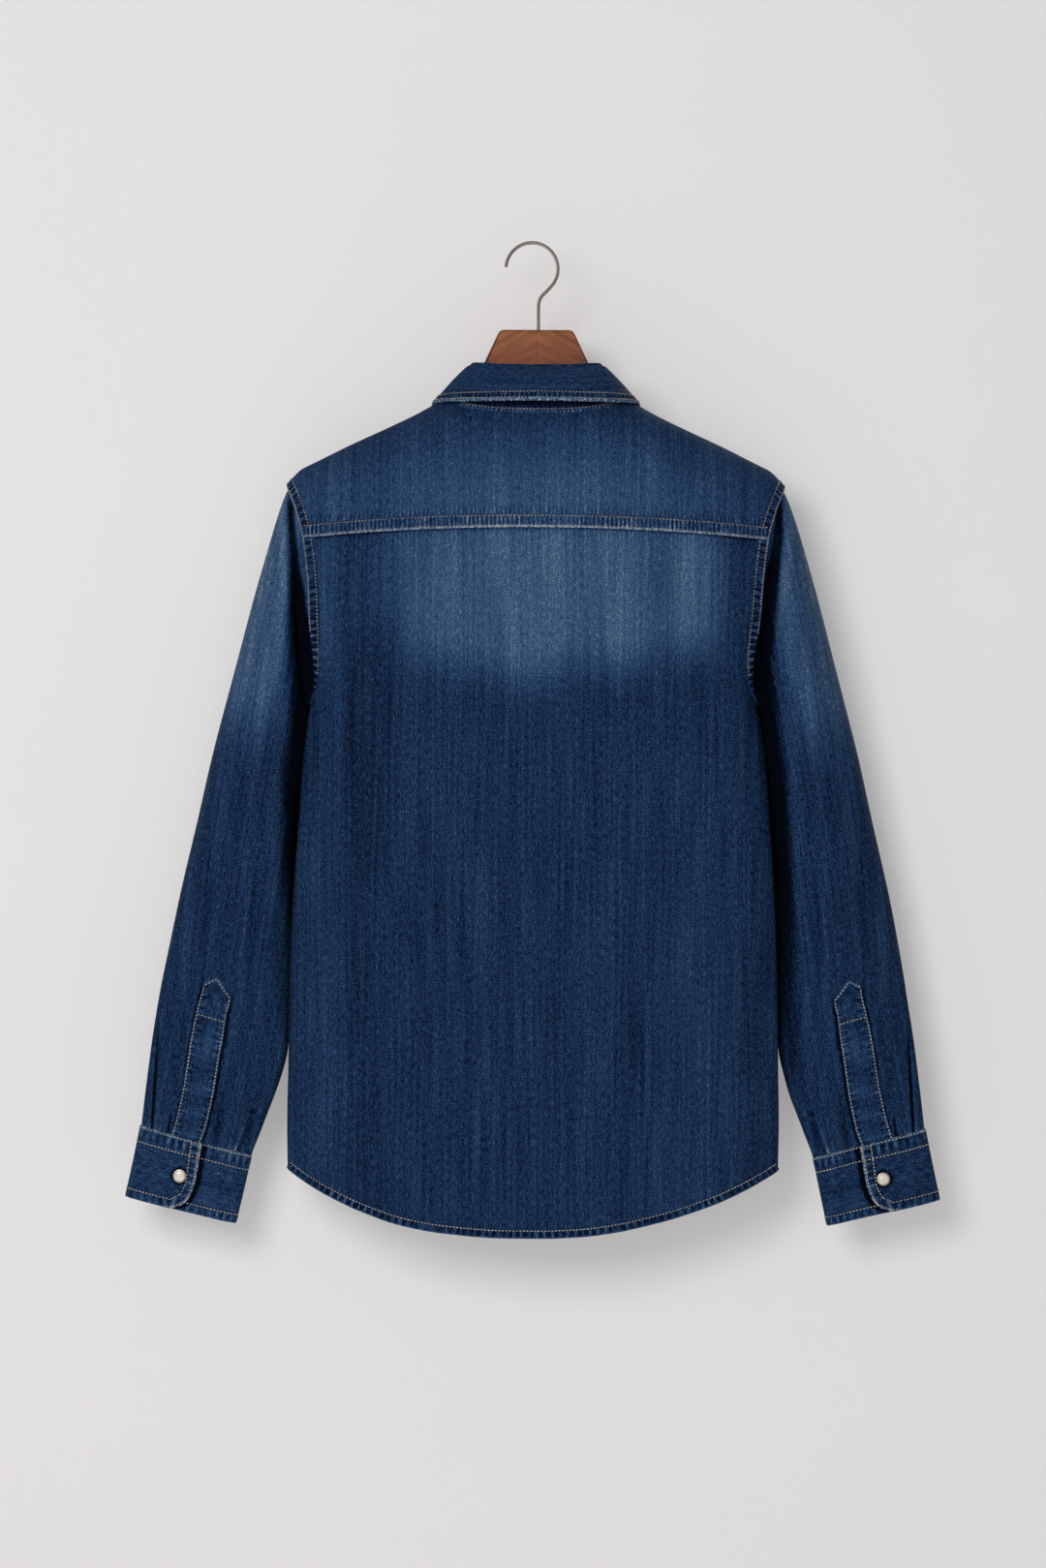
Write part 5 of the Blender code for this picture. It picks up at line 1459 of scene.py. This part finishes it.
# %% Yoke seams
SEAM_BAND = 12.6
EDGE_PAST = 0.8            # the folded edge reaches this far past the line of the seam
seam_depth = np.linspace(0, SEAM_BAND, 13)[:, None]


def yoke_seam(name, x, w, side, **look):
    """A band up from a seam line of the chart. Returns its points and normals for the stitches."""
    grid_x = x[None] + 0 * seam_depth
    grid_w = w[None] - side * (seam_depth - EDGE_PAST)
    point = body_point(grid_x, chart_z(grid_x, grid_w), side)
    normal = body_normal(point, side)
    run = run_length(body_point(x, chart_z(x, w), side))
    band(name, point, normal, run, seam_depth, 2.1, 1.0, **look)
    return point, normal


seam_q = np.linspace(SIDE_STEPS + 0.02, YOKE_STEPS - SIDE_STEPS - 0.02, 470)
seam_x, seam_w = yoke_outline(seam_q)
yoke_back = yoke_seam("yoke_back_seam", seam_x, seam_w, 1, fade=0.30 + 0.32 * bump(seam_x, -8, 110),
                      seed=0.6, dark=0.0)
front_t = np.linspace(0, 1, 190)
yoke_front = yoke_seam("yoke_front_seam", mix(x_corner, x_arm_front, front_t),
                       mix(w_corner, w_arm_front, front_t), -1, fade=0.3, seed=1.9, sides=(1, -1))

# %% Armhole seams
ARM_BAND = 10.2
# How wide the band stays out of the painted shade, by height. The rest of its back part is painted dark
# beside the sleeve.
ARM_UNSHADED = Curve([(-425, 2.0), (-398, 5.0), (-389, 6.3), (-366, 8.6), (-343, 10.4), (-320, 12)])
arm_station = np.linspace(-164, 164, 470)
arm_base, _, arm_off = arm_edge(arm_station)
_, arm_z, arm_side = arm_xz(arm_station)
arm_depth = np.linspace(0, ARM_BAND, 13)[:, None]
arm_points = arm_base[None] + (0.9 - arm_depth)[..., None] * arm_off[None]
arm_points, arm_normals = on_form(arm_points, np.broadcast_to(arm_side, arm_points.shape[:2]))
arm_unshaded = ARM_UNSHADED(arm_z)
# Painted shade: the back part of the band beside the sleeve's valley is painted dark.
painted_sleeve_shade = ease((ARM_BAND - arm_unshaded[None] - arm_depth) / 1.4 + 0.4) * (arm_side > 0)[None]
arm_fade = 0.30 * bump(arm_station, 20, 60)[None] - 0.02 - 3.0 * painted_sleeve_shade
band("armhole_seam", arm_points, arm_normals, run_length(arm_base), arm_depth, 1.7, 0.5,
     fade=arm_fade, seed=2.4, sides=(1, -1), period=6.6, edge_worn=0.8)

# %% Hems
HEM_BAND = 8.2
HEM_LINES = []
hem_depth = np.linspace(0, HEM_BAND, 11)[:, None]
back_hem_share = np.linspace(-0.995, 0.995, 480)
front_hem_c = np.linspace(0.0, FRONT_LAST - 0.03, 260)
for word, side in (("back", 1), ("front_left", -1), ("front_right", -1)):
    if side > 0:
        hem_x, hem_z = back_surface(np.full(480, SIDE_HEM_Z), back_hem_share)
    else:
        hem_x, hem_z = front_surface(np.full(260, SIDE_HEM_Z), front_hem_c)
    slope = np.gradient(hem_z) / np.gradient(hem_x)
    up = np.stack([-slope, np.ones_like(slope)], axis=-1) / np.sqrt(1 + slope ** 2)[:, None]
    grid_x = hem_x[None] + (hem_depth - 0.6) * up[:, 0][None]
    grid_z = hem_z[None] + (hem_depth - 0.6) * up[:, 1][None]
    grid_x = np.clip(grid_x, -EDGE(grid_z) * 0.9995, EDGE(grid_z) * 0.9995)
    hem_point = body_point(grid_x, grid_z, side)
    hem_point[..., 1] = side * np.maximum(np.abs(hem_point[..., 1]), 0.5)
    if word == "front_right":
        hem_point = hem_point * mirror
        hem_point[..., 1] += under_lap(np.linspace(0, FRONT_LAST, 260))
    hem_norm = body_normal(hem_point, side)
    HEM_LINES.append((word, hem_point, hem_norm))
    band("hem_" + word, hem_point, hem_norm, run_length(body_point(hem_x, hem_z, side)), hem_depth,
         0.9, 0.35, fade=0.12, seed=side + 1.3, edge_worn=0.55, rim_width=1.0, period=7.0)

# %% [markdown]
# ## Topstitching
#
# Thread is what makes denim read as denim: thick, tan, in even stitches that sink at their ends.
# `stitch_rows` walks along a line on the cloth and lays one short fat strand per stitch. Each strand
# has only a few dozen faces, because there are thousands.

# %% Thread finish
def thread_finish(name, dark, middle, pale):
    finish = Finish(name)
    place = finish.place()
    uneven = finish.noise(place, (45, 45, 45), 2.0)
    fine = finish.noise(place, (900, 900, 900), 1.0)
    tone = (uneven - 0.5) * 1.5 + 0.47 + (fine - 0.5) * 1.2
    finish.colour([(0.0, dark), (0.5, middle), (1.0, pale)], tone.clamped())
    finish.relief(fine, 0.4, 0.0002)
    finish.constant(Roughness=0.62, Sheen_Weight=0.2)
    return finish.material


TAN = thread_finish("tan_thread", (0.055, 0.042, 0.036), (0.20, 0.150, 0.112), (0.50, 0.42, 0.34))
PALE = thread_finish("pale_thread", (0.16, 0.130, 0.105), (0.36, 0.31, 0.25), (0.62, 0.56, 0.48))
print("threads:", TAN.name, PALE.name)

# %% Stitch maker
PITCH = 3.2                # from one stitch to the next
STITCH_HALF = 1.08
THREAD_RADIUS = 0.43
STRAND_SIDES = 6
# Rings of a strand: the way along half a stitch, the share of the radius, the height over the cloth.
STRAND_RINGS = [(-1.0, 0.42, -0.38), (-0.55, 0.95, 0.16), (0.55, 0.95, 0.16), (1.0, 0.42, -0.38)]


def resample(points, normals, pitch):
    """Middles of the stitches along a line, with the normal and the direction at each."""
    run = run_length(points)
    count = max(2, int(run[-1] / pitch))
    marks = (np.arange(count) + 0.5) * run[-1] / count

    def at(values, places):
        return np.stack([np.interp(places, run, values[:, k]) for k in range(3)], axis=1)

    ahead, behind = at(points, marks + 0.4), at(points, marks - 0.4)
    return at(points, marks), unit(at(normals, marks)), unit(ahead - behind)


def stitch_rows(name, rows, sides=(1,), lift=0.18, thread=TAN):
    """rows is a list of (points, normals) along each line of stitching."""
    for side in sides:
        turn = np.array([side, 1, 1])
        vertices, faces = [], []
        for points, normals in rows:
            centre, normal, along = resample(points * turn, normals * turn, PITCH)
            beside = unit(np.cross(normal, along))
            normal = unit(np.cross(along, beside))
            lines = []
            for reach, radius, height in STRAND_RINGS:
                for k in range(STRAND_SIDES):
                    angle = 2 * np.pi * k / STRAND_SIDES
                    offset = beside * np.cos(angle) * 1.1 + normal * np.sin(angle) * 0.85
                    lines.append(centre + along * reach * STITCH_HALF + normal * (height + lift)
                                 + offset * radius * THREAD_RADIUS)
            strands = np.stack(lines, axis=1)
            base = sum(len(v) for v in vertices)
            vertices.append(to_world(strands.reshape(-1, 3)))
            per = len(STRAND_RINGS) * STRAND_SIDES
            pattern = []
            for r in range(len(STRAND_RINGS) - 1):
                for k in range(STRAND_SIDES):
                    after = (k + 1) % STRAND_SIDES
                    a, b = r * STRAND_SIDES + k, r * STRAND_SIDES + after
                    pattern.append((a, b, b + STRAND_SIDES, a + STRAND_SIDES))
            first = tuple(reversed(range(STRAND_SIDES)))
            last = tuple(per - STRAND_SIDES + k for k in range(STRAND_SIDES))
            for i in range(len(centre)):
                start = base + i * per
                for face in pattern + [first, last]:
                    faces.append(tuple(start + j for j in face))
        mesh = bpy.data.meshes.new(name)
        mesh.from_pydata(np.concatenate(vertices).tolist(), [], faces)
        shape = bmesh.new()
        shape.from_mesh(mesh)
        bmesh.ops.recalc_face_normals(shape, faces=shape.faces)
        shape.to_mesh(mesh)
        shape.free()
        mesh.shade_smooth()
        mesh.materials.append(thread)
        piece = add_piece(side_name(name, side, sides), mesh)
        print(piece.name, "stitches:", len(faces) // (len(pattern) + 2), "faces:", len(faces))


def grid_row(grid, normals, lift, depths, at):
    """The line at one depth of a band's grid, moved out to its face."""
    share = np.interp(at, depths, np.arange(len(depths)))
    i = int(min(share, len(depths) - 2))
    normal = mix(normals[i], normals[i + 1], share - i)
    return mix(grid[i], grid[i + 1], share - i) + normal * lift, normal


# %% Stitches of the body
yoke_depths = seam_depth[:, 0]
for word, seam, sides in (("back", yoke_back, (1,)), ("front", yoke_front, (1, -1))):
    rows = [grid_row(*seam, 2.1, yoke_depths, 1.7), grid_row(*seam, 1.75, yoke_depths, 10.6)]
    stitch_rows("stitches_yoke_" + word, rows, sides=sides)


def arm_row(lift, depth):
    """A row round the armhole, without the stitches where the band is painted dark with the sleeve's shade.
    """
    points, normals = grid_row(arm_points, arm_normals, lift, arm_depth[:, 0], depth)
    unshaded = (arm_side < 0) | ((arm_unshaded > ARM_BAND - depth + 0.4) & (arm_z > -395))
    return points[unshaded], normals[unshaded]


stitch_rows("stitches_armhole", [arm_row(1.7, 1.4), arm_row(1.45, 8.6)], sides=(1, -1))

for word, hem_point, hem_norm in HEM_LINES:
    hem_row = grid_row(hem_point, hem_norm, 0.75, hem_depth[:, 0], 7.1)
    stitch_rows("stitches_hem_" + word, [hem_row], thread=PALE)
placket_rows = []
for c in (0.36, 1.64):
    line_x, line_z = front_surface(placket_z[::6, 0], np.full(len(placket_z[::6]), c))
    line = body_point(line_x, line_z, -1)
    line_norm = body_normal(line, -1)
    placket_rows.append((line + line_norm * BAND_LIFT, line_norm))
stitch_rows("stitches_front_placket", placket_rows)

# %% Stitches of the collar
def leaf_line(from_edge, columns):
    """The line on the leaf at one distance from its edge."""
    points, normals = [], []
    for i in columns:
        distance = leaf_from_edge[:, i]
        row = np.interp(-from_edge, -distance, np.arange(len(distance)))
        r = int(min(row, len(distance) - 2))
        points.append(mix(leaf_grid[r, i], leaf_grid[r + 1, i], row - r))
        normals.append(leaf_norm[r, i])
    return np.array(points), np.array(normals)


leaf_columns = range(3, len(leaf_run) - 3)
leaf_rows = [leaf_line(2.3, leaf_columns), leaf_line(8.0, leaf_columns)]
for i in (2, len(leaf_run) - 3):
    leaf_rows.append((leaf_grid[20:-3, i], leaf_norm[20:-3, i]))
stitch_rows("stitches_collar_leaf", leaf_rows)
stitch_rows("stitches_collar_stand", [(stand_grid[2], stand_norm[2])])

# %% Stitches of the cuffs
cuff_edge_station = np.concatenate([np.linspace(cuff_start, cuff_corner, 400),
                                    np.linspace(cuff_corner, cuff_end, 160)[1:]])
edge_run = np.interp(cuff_edge_station, cuff_fine, cuff_run_fine)
edge_down = cuff_low(cuff_edge_station) * CUFF_HEIGHT
end_up = np.linspace(edge_down[-1], 0.0, 60)[1:]
edge_path = np.stack([np.append(edge_run, np.full(59, edge_run[-1])), np.append(edge_down, end_up)], axis=1)


def inside_edge(distance):
    """The cuff's lower and end edge, moved inwards on the flat pattern."""
    tangent = unit(np.gradient(edge_path, axis=0))
    moved = edge_path + np.stack([tangent[:, 1], -tangent[:, 0]], axis=1) * distance
    gap = np.linalg.norm(moved[:, None] - edge_path[None], axis=-1).min(axis=1)
    return moved[gap > distance * 0.97]


def on_cuff(path):
    """A path on the flat pattern, laid round the cuff."""
    station = np.interp(path[:, 0], cuff_run_fine, cuff_fine)
    return cuff_surface(path[:, 1] / CUFF_HEIGHT, station)


inner_row = inside_edge(8.3)
outer_row = inside_edge(1.7)
outer_row = outer_row[outer_row[:, 0] > edge_run[399] - 4]
across_cuff = np.linspace(1, cuff_length - 1.5, 500)
top_rows = [np.stack([across_cuff, np.full(500, drop)], axis=1) for drop in (0.2, 13.0)]
stitch_rows("stitches_cuff", [on_cuff(path) for path in [inner_row, outer_row] + top_rows],
            sides=(1, -1), lift=0.25, thread=PALE)

# %% Stitches of the sleeve plackets
def strip_line(rows, across):
    """A line on the strip's face."""
    point, normal = strip_surface(np.asarray(rows, float), np.asarray(across, float))
    return point + normal * 2.05, normal


INSET = 0.915
down_rows = np.linspace(10.08, 14.93, 120)
over_point = np.linspace(-INSET, INSET, 40)
stitch_rows("stitches_sleeve_placket", [
    strip_line(down_rows, np.full(120, -INSET)), strip_line(down_rows, np.full(120, INSET)),
    strip_line(np.full(40, 10.05), over_point), strip_line(11.05 - 0.055 * over_point, over_point)],
    sides=(1, -1), thread=PALE)

# %% [markdown]
# ## Snaps
#
# A pearl snap is a metal ring that grips a shallow cap. It is turned from one cylinder: the top face
# is inset for the ring, sunk for the groove, and raised in steps for the dome. It is made once, and
# every snap is a copy that is laid on its cloth.

# %% Pearl and rim finishes
def pearl_finish():
    finish = Finish("pearl_cap")
    place = finish.place()
    cloud = finish.noise(place, (260, 260, 260), 3.0, turn=0.4)
    fine = finish.noise(place, (1500, 400, 1500), 2.0)
    finish.colour([(0.25, (0.44, 0.38, 0.31)), (0.5, (0.60, 0.55, 0.48)), (0.75, (0.78, 0.76, 0.72))],
                  (cloud * 0.8 + fine * 0.2).clamped())
    finish.roughness(0.16 + fine * 0.1)
    finish.constant(Coat_Weight=0.4, Coat_Roughness=0.08)
    return finish.material


def metal_finish(name, colour, roughness, scale):
    finish = Finish(name)
    brushed = finish.noise(finish.place(), scale, 3.0, 0.6)
    finish.colour([(0.3, [c * 0.82 for c in colour]), (0.7, colour)], brushed)
    finish.roughness(roughness + (brushed - 0.5) * 0.25)
    finish.relief(brushed, 0.2, 0.0001)
    finish.constant(Metallic=1.0)
    return finish.material


PEARL = pearl_finish()
RIM = metal_finish("snap_rim", (0.40, 0.37, 0.33), 0.36, (700, 700, 700))
print("finishes:", PEARL.name, RIM.name)

# %% One snap
SNAP_RADIUS = 6.25 * MM
CAP_RADIUS = 5.12 * MM
bpy.ops.mesh.primitive_cylinder_add(vertices=40, radius=SNAP_RADIUS, depth=1.1 * MM,
                                    location=(0, 0, 0.55 * MM))
snap_model = bpy.context.object
snap_model.name = "snap_model"
bpy.ops.object.transform_apply(location=True, rotation=True, scale=True)
bpy.ops.object.mode_set(mode="EDIT")
shape = bmesh.from_edit_mesh(snap_model.data)
for face in shape.faces:
    face.select_set(face.normal.z > 0.9)
bmesh.update_edit_mesh(snap_model.data)
bpy.ops.mesh.inset(thickness=0.35 * MM, depth=0.35 * MM)
bpy.ops.mesh.inset(thickness=0.55 * MM, depth=0.05 * MM)
bpy.ops.mesh.inset(thickness=0.20 * MM, depth=-0.45 * MM)
for width, rise in ((0.10, 0.42), (0.45, 0.40), (0.75, 0.30), (1.00, 0.18), (1.20, 0.08)):
    bpy.ops.mesh.inset(thickness=width * MM, depth=rise * MM)
bpy.ops.mesh.poke()
bpy.ops.object.mode_set(mode="OBJECT")
bpy.ops.object.shade_smooth_by_angle(angle=np.radians(50))
snap_model.data.materials.append(RIM)
snap_model.data.materials.append(PEARL)
for polygon in snap_model.data.polygons:
    middle = polygon.center
    if middle.z > 0.9 * MM and Vector((middle.x, middle.y)).length < CAP_RADIUS:
        polygon.material_index = 1
print("snap faces:", len(snap_model.data.polygons))

# %% Snaps laid on the shirt
def world_frame(point, normal):
    """Matrix that lays the model at a point of the shirt, its own z along the normal."""
    place, tip = to_world(np.array([point, point + normal]))
    up = Vector(tip - place).normalized()
    turn = up.to_track_quat("Z", "Y").to_matrix().to_4x4()
    return Matrix.Translation(Vector(place)) @ turn


def lay_snap(node, point, normal):
    """One snap of the shirt, in place of its rigid node."""
    mesh = snap_model.data.copy()
    mesh.transform(world_frame(point, normal))
    piece = add_piece(node + "_pearl", mesh)
    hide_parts(node)


for word, turn in (("left", np.array([1, 1, 1])), ("right", mirror)):
    lay_snap("snap_cuff_" + word, (snap_point[0] + snap_normal[0] * 0.1) * turn, snap_normal[0] * turn)
for i in range(6):
    point = body_point(np.array([0.0]), np.array([-288.0 - 88.0 * i]), -1)
    normal = body_normal(point, -1)
    lay_snap("snap_front_%d" % (i + 1), point[0] + normal[0] * (BAND_LIFT + 0.1), normal[0])
collar_low, collar_high = neck_point(np.array([180.0])), stand_top(np.array([180.0]))
normal = unit(np.cross(collar_high - collar_low, [[1.0, 0, 0]]))[0]
normal = -normal if normal[1] > 0 else normal
lay_snap("snap_collar", mix(collar_low, collar_high, 0.5)[0] + normal * 0.2, normal)
bpy.data.objects.remove(snap_model)

# %% [markdown]
# ## Hanger
#
# The hanger is two bent arms of stained wood that meet in the middle, so the grain runs down and
# away from a joint line on both sides. Its hook is plain nickelled wire. Both shapes are right as
# they are, and only need their finishes.

# %% Wood and wire finishes
ARM_FALL = 0.423           # how far an arm drops for each step out
wood_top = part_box("hanger_wood")[1][2]
wood_shoulder = 0.034 + wood_top * ARM_FALL
WOOD_TOP = (wood_top - 0.0018, wood_top - 0.0004)
WOOD_SIDE = (wood_shoulder - 0.0022, wood_shoulder - 0.0006)


def wood_finish():
    finish = Finish("stained_wood")
    axes = finish.node("ShaderNodeSeparateXYZ", None, {0: finish.place()})
    from_joint = finish.node("ShaderNodeMath", {"operation": "ABSOLUTE"},
                             {0: Mask(finish, axes.outputs[0]) - SYMMETRY_X * MM})
    from_joint = Mask(finish, from_joint.outputs[0])
    up = Mask(finish, axes.outputs[2])
    deep = Mask(finish, axes.outputs[1])
    across_grain = up * 0.86 + from_joint * 0.50
    along_grain = from_joint * 0.86 - up * 0.50
    board = finish.node("ShaderNodeCombineXYZ", None, {0: across_grain, 1: along_grain, 2: deep})
    board = board.outputs[0]
    rings = finish.noise(board, (190, 14, 60), 3.0, 0.55)
    pores = finish.noise(board, (1500, 60, 500), 2.0, 0.6)
    cloud = finish.noise(board, (30, 12, 20), 2.0)
    joint = 1 - from_joint.step(0.0002, 0.0009)
    rim = (from_joint + up * ARM_FALL).step(*WOOD_SIDE) * up.step(-0.125, -0.115) + up.step(*WOOD_TOP)
    # Painted shade: the hanger's right half, towards -X and away from the key lamp, is a little darker.
    painted_shade_right = (SYMMETRY_X * MM - Mask(finish, axes.outputs[0])).step(0.002, 0.040)
    tone = rings * 0.84 + (pores - 0.5) * 0.44 + (cloud - 0.5) * 0.40 + 0.06 - joint * 0.12 - rim * 0.45
    tone = tone - painted_shade_right * 0.09
    finish.colour([(0.10, (0.070, 0.018, 0.007)), (0.5, (0.225, 0.072, 0.028)),
                   (0.9, (0.370, 0.145, 0.060))], tone.clamped())
    finish.roughness(0.60 + (pores - 0.5) * 0.2)
    finish.relief(rings * 0.3 + pores, 0.25, 0.0003)
    finish.constant(Coat_Weight=0.03, Coat_Roughness=0.3, Specular_IOR_Level=0.15)
    return finish.material


WIRE = metal_finish("nickelled_wire", (0.34, 0.32, 0.30), 0.34, (900, 900, 120))
for node, material in (("hanger_wood", wood_finish()), ("hanger_hook", WIRE)):
    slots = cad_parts[node].data.materials
    slots.clear()
    slots.append(material)
print("hanger finished")

# %% [markdown]
# ## What each piece stands for
#
# Last, a table lists for every cloth piece the rigid node it replaces, how large it was cut before it was
# sewn and hung, what it rests on, and the bands and thread that go with it. The rigid nodes are hidden.

Cut = namedtuple("Cut", "node piece width length area rests with_pieces")
CUTS = [
    Cut("back_panel", "back_panel_cloth", 0.480, 0.690, 0.300, "yoke_cloth",
        ["hem_back", "stitches_hem_back"]),
    Cut("yoke", "yoke_cloth", 0.460, 0.240, 0.080, "hanger_wood",
        ["yoke_back_seam", "yoke_front_seam_left", "yoke_front_seam_right", "stitches_yoke_back",
         "stitches_yoke_front_left", "stitches_yoke_front_right"]),
    Cut("front_left", "front_left_cloth", 0.260, 0.760, 0.175, "yoke_cloth",
        ["hem_front_left", "stitches_hem_front_left", "armhole_seam_left", "stitches_armhole_left"]),
    Cut("front_right", "front_right_cloth", 0.260, 0.760, 0.175, "yoke_cloth",
        ["hem_front_right", "stitches_hem_front_right", "armhole_seam_right", "stitches_armhole_right"]),
    Cut("front_placket", "front_placket_cloth", 0.032, 0.705, None, "front_left_cloth",
        ["stitches_front_placket"]),
    Cut("collar_stand", "collar_stand_cloth", 0.560, 0.036, 0.0180, "yoke_cloth",
        ["stitches_collar_stand"]),
    Cut("collar_leaf", "collar_leaf_cloth", 0.500, 0.085, 0.0310, "collar_stand_cloth",
        ["stitches_collar_leaf"]),
]
for word in ("left", "right"):
    sleeve = "sleeve_cloth_" + word
    CUTS += [
        Cut("sleeve_" + word, sleeve, 0.480, 0.600, 0.165, "yoke_cloth", []),
        Cut("sleeve_placket_" + word, "sleeve_placket_cloth_" + word, 0.027, 0.158, None, sleeve,
            ["stitches_sleeve_placket_" + word]),
        Cut("cuff_" + word, "cuff_cloth_" + word, 0.270, 0.067, None, sleeve, ["stitches_cuff_" + word]),
    ]
for cut in CUTS:
    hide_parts(cut.node)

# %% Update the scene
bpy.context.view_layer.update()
